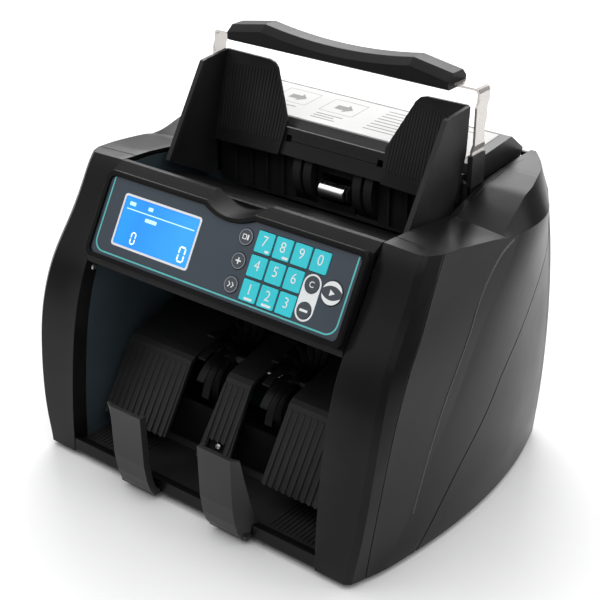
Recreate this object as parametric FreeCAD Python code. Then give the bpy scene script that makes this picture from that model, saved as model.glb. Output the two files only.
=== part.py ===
import FreeCAD, Part
import os, math
from FreeCAD import Vector as V

# ---------------------------------------------------------------------------
# Banknote counting machine.  Millimetres, +Z up, +X to the machine's left-hand
# column as seen from behind (right as seen from the front), front towards -Y.
# The model is laid out with y = 0 at the bottom front edge of the columns and
# z = 0 on the table, and is shifted at the end so that the origin lies under
# the centre of the whole box.
# ---------------------------------------------------------------------------

# driving dimensions ---------------------------------------------------------
HALF_OPEN = 103.9        # half width of the note pocket opening between columns
COLUMN_DEPTH = 12.2      # depth of a column, front face to the shell groove
WALL = 2.6               # moulded wall thickness
GROOVE = 0.7             # visible groove between column and side shell
FOOT_H = 4.0             # rubber foot height under the base
BACK_Y = 229.5           # rear face
SIDE_IN = 104.2          # inner face of the steel side plates
PLATE_T = 1.5            # steel side plate thickness
PANEL_W = 200.0          # control panel sheet, width
PANEL_H = 51.2           # control panel sheet, height along its slope
PANEL_TILT = 60.1        # panel slope from horizontal, degrees
PANEL_Y, PANEL_Z = 24.3, 148.4   # lower edge of the panel sheet
KEY_W, KEY_H = 12.4, 13.2        # number key
KEY_TRAVEL = 0.5
KEY_PROUD = 0.6
SHAFT_R = 3.0
BUSH_R = 3.05            # bore of the shaft bushes (running fit)
FEED_Y, FEED_Z, FEED_R = 174.5, 178.0, 23.5      # pick-up wheels in the hopper
DRUM_Y, DRUM_Z, DRUM_R = 152.0, 124.0, 24.0      # main transport rollers
STACK_Y, STACK_Z, STACK_R = 82.0, 68.0, 36.0     # spiral stacker wheels
MOTOR_Y, MOTOR_Z = 190.0, 60.0
CHROME_Y, CHROME_Z, CHROME_R = 155.0, 172.6, 5.4 # pressure roller
LEAN = 0.375             # lean of the hopper wall and of the guides
HINGE_Y, HINGE_Z = 226.6, 197.4                  # rear lid hinge
HANDLE_TRAVEL = 30.0
GUIDE_TRAVEL = 36.0

# front face of the columns: (z, y)
FRONT = [(-4, -0.3), (3.5, 0.0), (33, 1.2), (60.6, 3.8), (86.7, 7.3), (110, 12.7), (125.3, 18.1),
         (140.4, 25.4), (151, 33.0), (166.5, 42.8), (184.4, 53.8), (198.4, 63.0), (225, 80.5)]
# half width at the face edge, and at the groove: (z, x)
FACE_X = [(-4, 125.2), (4, 125.8), (30, 130.4), (55, 133.4), (75, 134.5), (95, 135.2), (115, 134.8),
          (130, 133.8), (145, 132.4), (160, 131.3), (180, 130.6), (198, 129.4), (225, 127.6)]
GROOVE_X = [(-4, 131.8), (4, 132.5), (30, 135.7), (55, 138.3), (75, 140.0), (95, 141.3), (115, 142.1),
            (130, 142.3), (145, 141.8), (160, 140.7), (180, 138.8), (198, 137.4), (225, 135.6)]
# soft crease on the side: (z, y) and (z, x)
CREASE_Y = [(-4, 22), (15, 34), (40, 46), (76, 64), (97, 78), (118, 90), (137, 101), (154, 115), (175, 136), (198, 150), (225, 160)]
CREASE_X = [(-4, 136.2), (15, 138.6), (40, 141.6), (76, 145.4), (97, 146.8), (118, 147.6), (137, 147.9), (154, 147.9), (175, 147.2), (198, 145.0), (225, 142)]
MID_X = [(-4, 145.6), (4, 146.2), (40, 148.0), (95, 149.4), (130, 149.6), (160, 148.6), (186, 146.8), (198, 145.6), (225, 143)]
REAR_X = [(-4, 130.5), (4, 131.5), (27, 133.4), (60, 135.0), (104, 134.8), (146, 132.0), (185, 126.5), (198, 124.5), (225, 121)]

# roof line of the side shells: (y, z)
ROOF_A = [(20, 199.6), (63, 198.4), (88, 196.6), (133, 191.0)]
ROOF_B = [(133, 191.0), (152, 196.7), (169, 200.8), (192, 203.2), (216, 204.2), (245, 204.6)]


def interp(tab, t):
    if t <= tab[0][0]:
        a, b = tab[0], tab[1]
    elif t >= tab[-1][0]:
        a, b = tab[-2], tab[-1]
    else:
        for a, b in zip(tab, tab[1:]):
            if a[0] <= t <= b[0]:
                break
    return a[1] + (b[1] - a[1]) * (t - a[0]) / (b[0] - a[0])


def smooth(tab, t):
    # monotone-ish cubic through the table (Catmull-Rom on uneven knots)
    n = len(tab)
    i = 0
    for i in range(n - 1):
        if t <= tab[i + 1][0]:
            break
    x0, y0 = tab[i]
    x1, y1 = tab[i + 1]
    def slope(k):
        if k <= 0:
            return (tab[1][1] - tab[0][1]) / (tab[1][0] - tab[0][0])
        if k >= n - 1:
            return (tab[-1][1] - tab[-2][1]) / (tab[-1][0] - tab[-2][0])
        return (tab[k + 1][1] - tab[k - 1][1]) / (tab[k + 1][0] - tab[k - 1][0])
    h = x1 - x0
    s = (t - x0) / h
    m0, m1 = slope(i) * h, slope(i + 1) * h
    return ((2 * s**3 - 3 * s**2 + 1) * y0 + (s**3 - 2 * s**2 + s) * m0
            + (-2 * s**3 + 3 * s**2) * y1 + (s**3 - s**2) * m1)


def yf(z):
    return smooth(FRONT, z)


parts = {}


def add(name, shape):
    shape = clean(shape)
    assert name not in parts, name
    parts[name] = shape


def clean(s):
    sol = [x for x in s.Solids if x.Volume > 0.5]
    if len(sol) == 1:
        return sol[0]
    return Part.makeCompound(sol)


def box(x0, x1, y0, y1, z0, z1):
    return Part.makeBox(x1 - x0, y1 - y0, z1 - z0, V(x0, y0, z0))


def cyl_x(x0, x1, y, z, r):
    return Part.makeCylinder(r, x1 - x0, V(x0, y, z), V(1, 0, 0))


def cyl_y(y0, y1, x, z, r):
    return Part.makeCylinder(r, y1 - y0, V(x, y0, z), V(0, 1, 0))


def cyl_z(z0, z1, x, y, r):
    return Part.makeCylinder(r, z1 - z0, V(x, y, z0), V(0, 0, 1))


def prism_x(pts, x0, x1):
    """Closed polygon in (y, z) pushed from x0 to x1."""
    w = Part.makePolygon([V(x0, a, b) for a, b in pts] + [V(x0, pts[0][0], pts[0][1])])
    return Part.Face(w).extrude(V(x1 - x0, 0, 0))


def prism_z(pts, z0, z1):
    w = Part.makePolygon([V(a, b, z0) for a, b in pts] + [V(pts[0][0], pts[0][1], z0)])
    return Part.Face(w).extrude(V(0, 0, z1 - z0))


def curve_prism_x(edge_pts, closing, x0, x1):
    """Spline through edge_pts, then straight through the closing points, in (y, z)."""
    sp = Part.BSplineCurve()
    sp.interpolate([V(x0, a, b) for a, b in edge_pts])
    pts = [edge_pts[-1]] + closing + [edge_pts[0]]
    edges = [sp.toShape()]
    for a, b in zip(pts, pts[1:]):
        edges.append(Part.makeLine(V(x0, a[0], a[1]), V(x0, b[0], b[1])))
    return Part.Face(Part.Wire(edges)).extrude(V(x1 - x0, 0, 0))


def fuse(*s):
    r = s[0]
    rest = list(s[1:])
    if rest:
        r = r.multiFuse(rest)
    return r.removeSplitter()


def cut(a, *b):
    for t in b:
        a = a.cut(t)
    return a


def mirror(s):
    return s.mirror(V(0, 0, 0), V(1, 0, 0))


def round_box(x0, x1, y0, y1, z0, z1, r, axis="z"):
    """Box with its four edges along one axis rounded."""
    b = box(x0, x1, y0, y1, z0, z1)
    es = []
    for e in b.Edges:
        d = e.Vertexes[1].Point - e.Vertexes[0].Point
        if axis == "z" and abs(d.z) > 1e-6:
            es.append(e)
        if axis == "y" and abs(d.y) > 1e-6:
            es.append(e)
        if axis == "x" and abs(d.x) > 1e-6:
            es.append(e)
    return b.makeFillet(r, es)


# ---------------------------------------------------------------------------
# master hull: lofted through horizontal outlines
# ---------------------------------------------------------------------------
def outline(z, inset=0.0, z_level=None):
    """Half outline at height z (from the true shape), as a full closed wire at z_level."""
    zl = z if z_level is None else z_level
    i = inset
    y0 = yf(z) + i
    xf = smooth(FACE_X, z) - i
    xg = smooth(GROOVE_X, z) - i
    yg = yf(z) + COLUMN_DEPTH
    xc, yc = smooth(CREASE_X, z) - i, smooth(CREASE_Y, z)
    xm = smooth(MID_X, z) - i
    xr = smooth(REAR_X, z) - i
    F = V(xf, y0, zl)
    B = V(xf + 3.7, y0 + 3.0, zl)
    G = V(xg, yg, zl)
    C = V(xc, yc, zl)
    ym = max(118.0, yc + 26.0)
    M = V(xm, ym, zl)
    yq = 0.5 * (ym + 214.0)
    Q = V(0.5 * (xm + xr) + 3.6, yq, zl)
    R = V(xr, 213.0, zl)
    K1 = V(xr - 3.6, 222.0, zl)
    K2 = V(xr - 12.0, BACK_Y - i, zl)

    def mir(p):
        return V(-p.x, p.y, p.z)

    def spl(pts):
        s = Part.BSplineCurve()
        s.interpolate(pts)
        return s.toShape()

    right = [
        Part.makeLine(F, B),
        Part.makeLine(B, G),
        spl([G, V((G.x + C.x) / 2 + 0.25, (G.y + C.y) / 2, zl), C]),
        spl([C, M, Q, R]),
        spl([R, K1, K2]),
    ]
    left = [
        spl([mir(K2), mir(K1), mir(R)]),
        spl([mir(R), mir(Q), mir(M), mir(C)]),
        spl([mir(C), V(-(G.x + C.x) / 2 - 0.25, (G.y + C.y) / 2, zl), mir(G)]),
        Part.makeLine(mir(G), mir(B)),
        Part.makeLine(mir(B), mir(F)),
    ]
    edges = [Part.makeLine(mir(F), F)] + right + [Part.makeLine(K2, mir(K2))] + left
    return Part.Wire(edges)


LEVELS = [4, 22, 45, 70, 95, 118, 138, 158, 180, 200, 222]


def roof_cutter(drop=0.0):
    """Everything above the roof line, lowered by drop."""
    xs = 170
    a = [V(-xs, y, z - drop) for y, z in ROOF_A]
    b = [V(-xs, y, z - drop) for y, z in ROOF_B]
    e = [Part.makeLine(p, q) for p, q in zip(a, a[1:])]
    s = Part.BSplineCurve()
    s.interpolate(b)
    e.append(s.toShape())
    top = 260
    pts = [b[-1], V(-xs, ROOF_B[-1][0], top), V(-xs, ROOF_A[0][0], top), a[0]]
    e += [Part.makeLine(p, q) for p, q in zip(pts, pts[1:])]
    return Part.Face(Part.Wire(e)).extrude(V(2 * xs, 0, 0))


# slanted facet along the outer edge of the rear roof: y, inner (x, z) on the roof, outer (x, z) on the side
FACET = [(112.0, 141.2, 196.0, 151.0, 194.4), (121.0, 141.2, 192.4, 150.0, 190.8), (131.0, 141.2, 188.2, 148.2, 187.0),
         (144.7, 138.9, 192.2, 147.2, 186.3), (160.0, 136.6, 197.4, 146.2, 188.1), (179.0, 133.6, 201.5, 142.4, 189.4),
         (193.0, 129.7, 203.2, 137.0, 190.0), (209.0, 123.6, 203.9, 128.4, 190.0), (218.0, 117.6, 204.3, 123.2, 190.0),
         (231.0, 106.5, 204.6, 113.0, 190.0)]
# how far the roof falls towards the outside, at x = 150: (y, drop)
ROOF_FALL = [(20, 0.8), (63, 1.2), (90, 1.9), (110, 2.2), (124, 3.0), (133, 4.3), (152, 2.5), (169, 1.0), (192, 0.0), (250, 0.0)]
ROOF_BEND_X = 108.0


def roof_side_cutters(drop=0.0):
    """Outer part of the roof, bent down towards the outside: one cutter before the crease, one behind it."""
    out = []
    for ys in ([20, 30, 40, 50, 56, 63, 70, 80, 88, 97, 106, 115, 124, 133], [133, 139, 145, 152, 160, 169, 180, 192, 204, 216, 230, 245]):
        tab = ROOF_A if ys[0] < 133 else ROOF_B
        a, b = [], []
        for y in ys:
            z = interp(tab, y) - drop
            a.append(V(ROOF_BEND_X, y, z))
            b.append(V(ROOF_BEND_X + 84.0, y, z - 2.0 * interp(ROOF_FALL, y)))
        sa = Part.BSplineCurve()
        sa.interpolate(a)
        sb = Part.BSplineCurve()
        sb.interpolate(b)
        out.append(Part.makeRuledSurface(sa.toShape(), sb.toShape()).extrude(V(0, 0, 60)))
    return out


def edge_facet_cutter(drop=0.0):
    """Everything outside the slanted facet, lowered by drop."""
    a, b = [], []
    for y, xi, zi, xo, zo in FACET:
        dx, dz = xo - xi, zo - zi
        L = math.hypot(dx, dz)
        ox, oz = drop * dz / L, -drop * dx / L
        a.append(V(xi - 0.6 * dx + ox, y, zi - 0.6 * dz + oz))
        b.append(V(xo + 0.9 * dx + ox, y, zo + 0.9 * dz + oz))
    sa = Part.BSplineCurve()
    sa.interpolate(a)
    sb = Part.BSplineCurve()
    sb.interpolate(b)
    face = Part.makeRuledSurface(sa.toShape(), sb.toShape())
    return face.extrude(V(60, 0, 45))


def hull(inset=0.0, z0=4.0, z_bottom=None):
    wires = []
    for z in LEVELS:
        wires.append(outline(z, inset))
    h = Part.makeLoft(wires, True, False)
    h = h.cut(roof_cutter(inset))
    for c in roof_side_cutters(inset) + [edge_facet_cutter(inset)]:
        h = h.cut(c).cut(mirror(c))
    return h


HULL = hull(0.0)
INNER = hull(WALL)


def front_zone(off0, off1, z0=3.9, z1=215.0, half=170):
    """Slab between two copies of the front face curve, moved back by off0 and off1."""
    zs = [z0 + (z1 - z0) * k / 22.0 for k in range(23)]
    a = [V(-half, yf(z) + off0, z) for z in zs]
    b = [V(-half, yf(z) + off1, z) for z in zs]
    s1 = Part.BSplineCurve(); s1.interpolate(a)
    s2 = Part.BSplineCurve(); s2.interpolate(b)
    w = Part.Wire([s1.toShape(), Part.makeLine(a[-1], b[-1]), s2.toShape(), Part.makeLine(b[0], a[0])])
    return Part.Face(w).extrude(V(2 * half, 0, 0))


# ---------------------------------------------------------------------------
# columns and sill
# ---------------------------------------------------------------------------
col_zone = front_zone(-3, COLUMN_DEPTH)
column = HULL.common(col_zone).common(box(HALF_OPEN, 170, -20, 120, 4, 230))
hollow = INNER.common(front_zone(2.8, COLUMN_DEPTH + 5)).common(box(HALF_OPEN + 2.8, 170, -20, 120, 7, 230))
column = column.cut(hollow)
sill = prism_x([(1.2, 4.0), (0.4, 5.5), (0.9, 14.0), (3.4, 14.0), (9.5, 10.4), (9.5, 7.0), (5.0, 6.7), (5.0, 4.0)], -HALF_OPEN - 1.0, HALF_OPEN + 1.0)
add("front_frame", fuse(column, mirror(column), sill))

# ---------------------------------------------------------------------------
# side shells and rear shell, split by a diagonal parting line
# ---------------------------------------------------------------------------
PART_LINE = [(44, -3), (51.5, 4), (68, 23), (88.5, 49.5), (118, 81), (130, 96.5), (152, 116), (174, 133.5), (196, 148.5), (214, 157.5), (245, 164)]


def below_line(off=0.0):
    pts = [V(-170, y + off, z - off * 0.55) for y, z in PART_LINE]
    s = Part.BSplineCurve(); s.interpolate(pts)
    e = [s.toShape()]
    c = [pts[-1], V(-170, 260, pts[-1].z), V(-170, 260, -20), V(-170, pts[0].y, -20), pts[0]]
    e += [Part.makeLine(p, q) for p, q in zip(c, c[1:])]
    return Part.Face(Part.Wire(e)).extrude(V(340, 0, 0))


skin = HULL.cut(INNER)
behind_groove = front_zone(COLUMN_DEPTH + GROOVE, 400)
skin = skin.common(behind_groove)
low = below_line(0.0)
low_gap = below_line(1.0)

side_shell = skin.cut(low).common(box(SIDE_IN, 170, -20, 250, 4.0, 230))
# flange down the inside of the roof edge, over the steel side plate
flange = box(SIDE_IN + PLATE_T + 0.3, SIDE_IN + PLATE_T + 2.1, 80, 226, 150, 230).common(INNER)
side_shell = fuse(side_shell, flange.cut(box(100, 110, 70, 90, 100, 230)).cut(box(0, 170, 0, 250, 0, 186)))
add("side_shell_right", side_shell)
add("side_shell_left", mirror(side_shell))

rear = skin.common(low_gap).common(box(-170, 170, -20, 250, 4.0, 230))
# back wall between the side shells, up to the lid
back = box(-SIDE_IN + 0.4, SIDE_IN - 0.4, BACK_Y - WALL, BACK_Y, 100, 203.0)
rear_shell = fuse(rear, back)
# the lid closes the middle of the back down to here
rear_shell = rear_shell.cut(box(-98.6, 98.6, 200, 240, 194.4, 230))
# ventilation slots in the back wall
for k in range(9):
    x = -72 + 9 * k
    rear_shell = rear_shell.cut(round_box(x - 1.4, x + 1.4, BACK_Y - 6, BACK_Y + 2, 58, 92, 1.3, "y"))
INLET_X, INLET_Z = 76.0, 40.0
SWITCH_X = 44.0
rear_shell = rear_shell.cut(box(INLET_X - 14.2, INLET_X + 14.2, 220, 235, INLET_Z - 10.4, INLET_Z + 10.4))
rear_shell = rear_shell.cut(box(SWITCH_X - 10.3, SWITCH_X + 10.3, 220, 235, INLET_Z - 7.3, INLET_Z + 7.3))
add("rear_shell", rear_shell)

# ---------------------------------------------------------------------------
# base and feet
# ---------------------------------------------------------------------------
base = Part.Face(outline(6, 3.4, 4.0)).extrude(V(0, 0, 2.4))
base = base.cut(box(-170, 170, -20, yf(5) + COLUMN_DEPTH + 0.4, 0, 10))
for k in range(8):
    base = base.cut(round_box(-60 + 16 * k, -54 + 16 * k, 150, 190, 0, 10, 2.9, "z"))
for x in (-80, 20):
    for y in (120, 206):
        base = base.fuse(cyl_z(6.0, 12.0, x, y, 3.0))
add("base_plate", base)
feet = []
for sx in (-1, 1):
    for y in (24, 200):
        f = Part.makeCone(8.2, 9.0, FOOT_H, V(sx * 112, y, 0), V(0, 0, 1))
        feet.append(f)
add("rubber_feet", Part.makeCompound(feet))

# ---------------------------------------------------------------------------
# steel side plates (the pocket's blue-grey walls)
# ---------------------------------------------------------------------------
zs = [7, 20, 40, 60, 80, 100, 115, 130, 140]
front_pts = [(yf(z) + COLUMN_DEPTH + 0.3, z) for z in zs]
plate_pts = front_pts + [(60, 168), (72, 186), (72, 193.5), (88, 193.2), (133, 187.4), (150, 192.5), (169, 197.0),
                         (192, 199.6), (216, 200.6), (221, 200.0), (221, 120), (218, 60), (205, 7)]
side_plate = prism_x(plate_pts, SIDE_IN, SIDE_IN + PLATE_T)
BUSHES = [(FEED_Y, FEED_Z), (DRUM_Y, DRUM_Z), (STACK_Y, STACK_Z)]
for y, z in BUSHES:
    side_plate = side_plate.cut(cyl_x(100, 110, y, z, 5.0))
side_plate_r = side_plate.cut(cyl_x(100, 110, MOTOR_Y, MOTOR_Z, 7.0))
add("side_plate_right", side_plate_r)
add("side_plate_left", mirror(side_plate))
bush = []
for sx in (1, -1):
    for y, z in BUSHES:
        b = cyl_x(SIDE_IN, SIDE_IN + PLATE_T, y, z, 5.0)
        b = b.fuse(cyl_x(SIDE_IN + PLATE_T, SIDE_IN + PLATE_T + 1.2, y, z, 7.0)).cut(cyl_x(90, 120, y, z, BUSH_R)).removeSplitter()
        bush.append(b if sx > 0 else mirror(b))
add("shaft_bushes", Part.makeCompound(bush))

# ---------------------------------------------------------------------------
# control panel, built flat and then tilted: local x, v (up the slope), w (out)
# ---------------------------------------------------------------------------
def tilt(s):
    s = s.copy()
    s.rotate(V(0, 0, 0), V(1, 0, 0), PANEL_TILT)
    s.translate(V(0, PANEL_Y, PANEL_Z))
    return s


CA, SA = math.cos(math.radians(PANEL_TILT)), math.sin(math.radians(PANEL_TILT))


def pw(v, w):
    """(y, z) of a panel point."""
    return (PANEL_Y + v * CA - w * SA, PANEL_Z + v * SA + w * CA)


NOTCH_R = 42.8
NOTCH_V = 46.0 + NOTCH_R


def notch(grow, w0, w1):
    return Part.makeCylinder(NOTCH_R + grow, w1 - w0, V(0, NOTCH_V, w0), V(0, 0, 1))


overlay = round_box(-PANEL_W / 2, PANEL_W / 2, 0, PANEL_H, -1.2, 0, 4.0)
overlay = overlay.cut(notch(0, -3, 3))
LCD = (-83.9, -19.5, 9.4, 42.5)
overlay = overlay.cut(round_box(LCD[0], LCD[1], LCD[2], LCD[3], -3, 3, 1.6))
cols = [25.2, 39.05, 52.9, 66.75]
rows = [34.1, 19.05, 4.1]
digits = [["7", "8", "9", "0"], ["4", "5", "6", None], ["1", "2", "3", None]]
keys = {}
for ri, row in enumerate(digits):
    for ci, d in enumerate(row):
        if d is None:
            continue
        x0, v0 = cols[ci], rows[ri]
        keys["key_" + d] = round_box(x0, x0 + KEY_W, v0, v0 + KEY_H, -1.9, KEY_PROUD, 1.0)
        overlay = overlay.cut(round_box(x0 - 0.3, x0 + KEY_W + 0.3, v0 - 0.3, v0 + KEY_H + 0.3, -3, 3, 1.2))
rounds = {"key_mode": (17.0, 40.7, 5.2), "key_add": (17.0, 25.7, 5.2), "key_speed": (17.0, 10.7, 5.2),
          "key_clear": (72.3, 26.6, 4.9), "key_batch": (72.3, 11.0, 4.9), "key_restart": (87.0, 25.8, 7.3)}
for n, (x, v, r) in rounds.items():
    keys[n] = Part.makeCylinder(r, KEY_PROUD + 1.9, V(x, v, -1.9))
    overlay = overlay.cut(Part.makeCylinder(r + 0.3, 6, V(x, v, -3)))
overlay_t = tilt(overlay)
add("panel_overlay", overlay_t)
for n in sorted(keys):
    k = keys[n]
    top = [e for e in k.Edges if all(abs(p.Point.z - KEY_PROUD) < 1e-6 for p in e.Vertexes)]
    k = k.makeFillet(0.3, top)
    add(n, tilt(k))

# bezel frame around the sheet
SCOOP_R, SCOOP_Z = 40.0, 231.3
scoop = Part.makeCylinder(SCOOP_R, 60, V(0, 30, SCOOP_Z), V(0, 1, 0))
bez = round_box(-104.0, 104.0, -3.6, 54.9, -3.0, 1.6, 6.0)
top_e = [e for e in bez.Edges if all(abs(p.Point.z - 1.6) < 1e-6 for p in e.Vertexes)]
bez = bez.makeFillet(1.2, top_e)
inner_open = round_box(-PANEL_W / 2 - 0.2, PANEL_W / 2 + 0.2, -0.2, PANEL_H + 0.2, -4, 4, 4.2)
inner_open = inner_open.cut(notch(-0.25, -5, 5))
bez = bez.cut(inner_open)
bez_t = tilt(bez).cut(scoop)

# display: glass block behind the sheet window, and its board
lcd = round_box(LCD[0] + 0.25, LCD[1] - 0.25, LCD[2] + 0.25, LCD[3] - 0.25, -3.2, -0.35, 1.4)
add("lcd_window", tilt(lcd))
lcd_body = box(LCD[0] - 3, LCD[1] + 3, LCD[2] - 4, LCD[3] + 3, -9.0, -3.3)
board = box(-96, 96, 2.5, 44.0, -11.0, -9.4)
add("display_board", tilt(fuse(lcd_body, box(LCD[0] + 8, LCD[1] - 8, 16, 36, -9.8, -8.8), board)))

# panel housing: the beam between the columns that carries the panel
H = [(25.4, 139.5), (25.4, 143.6), pw(-3.6, -2.95), pw(54.9, -2.95), (62.2, 198.5), (66.0, 198.1), (66.0, 186.0),
     (63.4, 186.0), (63.4, 195.3), pw(53.5, -5.9), pw(-2.0, -5.9), (28.4, 142.2), (64.0, 142.2), (64.0, 139.5)]
housing = prism_x(H, -103.6, 103.6)
# floor behind the sheet carrying the windows of display and keys
housing = housing.cut(tilt(box(LCD[0] - 3.3, LCD[1] + 3.3, LCD[2] - 4.3, LCD[3] + 3.3, -12, 0)))
housing = housing.cut(tilt(box(24.4, 80.2, 3.2, 48.2, -12, 0))).cut(tilt(box(10.6, 23.4, 4.2, 47.0, -12, 0)))
housing = housing.cut(tilt(box(66.0, 96.0, 4.0, 34.0, -12, 0)))
housing = housing.cut(scoop)
# scoop liner so that the finger scoop stays closed
liner = Part.makeCylinder(SCOOP_R + 2.4, 17.0, V(0, 49.6, SCOOP_Z), V(0, 1, 0)).cut(scoop)
liner = liner.common(prism_x([pw(40, -2.95), pw(54.9, -2.95), (62.2, 198.5), (66.0, 198.1), (66.0, 180.0), (55, 180)], -32, 32))
liner = liner.cut(tilt(box(-32, 32, 30, 54.9, -2.95, 3)))
housing = fuse(housing, liner)
housing = fuse(housing, bez_t.cut(overlay_t))
add("panel_housing", housing)

# ---------------------------------------------------------------------------
# note pocket: floor, ribbed deflectors, stops
# ---------------------------------------------------------------------------
tray = prism_x([(9.7, 6.6), (9.7, 10.2), (44.5, 10.2), (47.5, 13.5), (47.5, 46.0), (49.5, 46.0), (49.5, 6.6)], -103.4, 103.4)
ribs = []
for k in range(14):
    for sx in (-1, 1):
        x = sx * (59.5 + 3.2 * k)
        ribs.append(box(x - 0.7, x + 0.7, 11.5, 42.5, 9.6, 10.9))
tray = fuse(tray, *ribs)
add("tray_floor", tray)


def defl_y(z):
    return 52.5 + 0.649 * (z - 69.5)


HOOD_RISE = 0.19      # slope of the hood behind the crease


def deflector(x0, x1, zlow, hood_back):
    T = 2.4
    hood_back = 124.0
    top = [(52.5, 69.5), (54.3, 72.2), (57.6, 74.3), (63.0, 75.8), (hood_back, 75.8 + (hood_back - 63) * HOOD_RISE)]
    low = [(hood_back, 75.8 + (hood_back - 63) * HOOD_RISE - T), (63.0, 75.8 - T), (58.6, 74.2 - T), (56.4, 71.6 - T), (55.0, 69.5 - 1.5)]
    pts = [(defl_y(zlow), zlow)] + top + low + [(defl_y(zlow) + T, zlow)]
    return prism_x(pts, x0, x1)


def rib_set(xs, z0, z1, h=1.2, w=2.3):
    out = []
    for x in xs:
        a = [(defl_y(z0) - h, z0 + 0.3), (defl_y(z1) - h * 0.4, z1 - 0.2), (defl_y(z1) + 0.6, z1 - 0.2), (defl_y(z0) + 0.6, z0 + 0.3)]
        out.append(prism_x(a, x - w / 2, x + w / 2))
    return out


d_r = deflector(41.7, 98.6, 27.0, 124.0)
d_r = fuse(d_r, *rib_set([44.9 + 5.1 * k for k in range(11)], 27.0, 69.5))
# centre deflector: tapers upwards
cpts = [(-13.6, 25.4), (13.6, 25.4), (10.4, 69.5), (-10.4, 69.5)]
d_c = deflector(-13.6, 13.6, 25.4, 124.0)
d_c = fuse(d_c, *rib_set([-9.6, -4.8, 0, 4.8, 9.6], 25.4, 69.5))
taper = Part.Face(Part.makePolygon([V(-13.7, 0, 20), V(13.7, 0, 20), V(10.4, 0, 69.5), V(10.4, 0, 130), V(-10.4, 0, 130), V(-10.4, 0, 69.5), V(-13.7, 0, 20)])).extrude(V(0, 150, 0))
d_c = d_c.common(taper)
d_c = d_c.cut(prism_x([(defl_y(27.5) - 5, 27.5), (defl_y(37.5) - 5, 37.5), (defl_y(37.5) + 6, 37.5), (defl_y(27.5) + 6, 27.5)], -7.6, 6.6))
zb = 75.8 + (124.0 - 63) * HOOD_RISE
tie = prism_x([(119.0, zb - 0.95 - 2.4), (119.0, zb - 0.95), (124.0, zb), (124.0, zb - 2.4)], -60.0, 60.0)
add("note_deflector", fuse(d_r, mirror(d_r), d_c, tie))
# sensor block that looks out of the centre deflector's window
sb = prism_x([(defl_y(26.5) + 3.6, 26.5), (defl_y(37.8) + 3.6, 37.8), (49.0, 37.8), (49.0, 26.5)], -9.0, 8.0)
sc_v = V(0, -0.839, 0.544)
p_sc = V(0.5, defl_y(33.0) + 4.2, 33.0)
parts["tray_floor"] = clean(fuse(parts["tray_floor"], sb, Part.makeCylinder(2.2, 1.8, p_sc, sc_v)))

# note stops: two channel-shaped fingers
STOP = [(67.4, -13.6, -10.8), (50.0, -13.2, -6.7), (31.0, -12.6, -1.4), (18.0, -10.6, 3.2), (10.0, -8.0, 6.5), (4.2, -4.2, 8.6)]


def stop_sections(x0, xb, x1, t):
    w = []
    for z, f, g in STOP:
        pts = [V(x0, f, z), V(xb, f, z), V(x1, g, z), V(x1 - 1.6, g + 1.4, z), V(xb - 0.7, f + t, z), V(x0 + t * 0.9, f + t, z),
               V(x0 + t * 0.9, f + t + 2.2, z), V(x0, f + t + 2.2, z)]
        w.append(Part.makePolygon(pts + [pts[0]]))
    return Part.makeLoft(w, True, True)


stop = stop_sections(24.0, 50.5, 56.2, 3.0)
foot_plate = box(24.0, 54.0, -6.0, 1.3, 4.2, 7.4)
stop = fuse(stop, foot_plate.cut(box(20, 60, -4.0 - 3.6, -4.6, 0, 20)))
stop = stop.cut(sill).cut(box(0, 103, 0.42, 60, 3, 14.0))
add("note_stops", Part.makeCompound([stop, mirror(stop)]))

# ---------------------------------------------------------------------------
# hopper: floor, back wall with its square windows, guides
# ---------------------------------------------------------------------------
hop_floor = prism_x([(66.3, 185.8), (66.3, 193.6), (68.6, 193.6), (146.0, 160.4), (149.0, 158.0), (149.0, 152.5), (146.6, 152.5),
                     (146.2, 157.4), (68.2, 190.0), (68.2, 185.8)], -103.9, 103.9)
fr = []
for k in range(-9, 10):
    x = 10.0 * k
    fr.append(prism_x([(72, 192.2), (140, 163.1), (140, 161.6), (72, 190.6)], x - 0.8, x + 0.8))
hop_floor = fuse(hop_floor, *fr)
add("hopper_floor", hop_floor)


def wall_y(z):
    return 150.1 + LEAN * (z - 193.0)


W = 2.0
WALL_TOP = 208.5
RAIL_Y, RAIL_Z, RAIL_R = 160.6, 200.5, 2.0
bw_pts = [(wall_y(191.2), 191.2), (wall_y(WALL_TOP), WALL_TOP), (wall_y(WALL_TOP) + W, WALL_TOP), (wall_y(193.6) + W, 193.6), (159.6, 193.6),
          (159.6, 156.0), (157.2, 156.0), (157.2, 191.2)]
back_wall = prism_x(bw_pts, -97.6, 97.6)
# square windows and the long groove
for sx in (-1, 1):
    back_wall = back_wall.cut(box(sx * 37.6 - 2.4, sx * 37.6 + 2.4, 140, 170, 199.4, 204.0))
# long slot on each side for the guide's tab, joined by a fine groove
for sx in (-1, 1):
    xa, xb = (43.0, 93.5) if sx > 0 else (-93.5, -43.0)
    back_wall = back_wall.cut(box(xa, xb, 140, 157.0, 199.3, 201.7))
back_wall = back_wall.cut(prism_x([(wall_y(200.2) - 1, 200.2), (wall_y(200.9) - 1, 200.9), (wall_y(200.9) + 0.6, 200.9), (wall_y(200.2) + 0.6, 200.2)], -97.6, 97.6))
# slots for the pick-up wheels and the pressure roller
for sx in (-1, 1):
    back_wall = back_wall.cut(box(sx * 24.9 - 9.4, sx * 24.9 + 9.4, 150, 170, 158.6, 189.8))
back_wall = back_wall.cut(box(-12.6, 12.6, 150, 170, 163.0, 183.0))
back_wall = back_wall.cut(box(-34.5, -15.3, 153.3, 170, 180, 197.0)).cut(box(15.3, 34.5, 153.3, 170, 180, 197.0))
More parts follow.
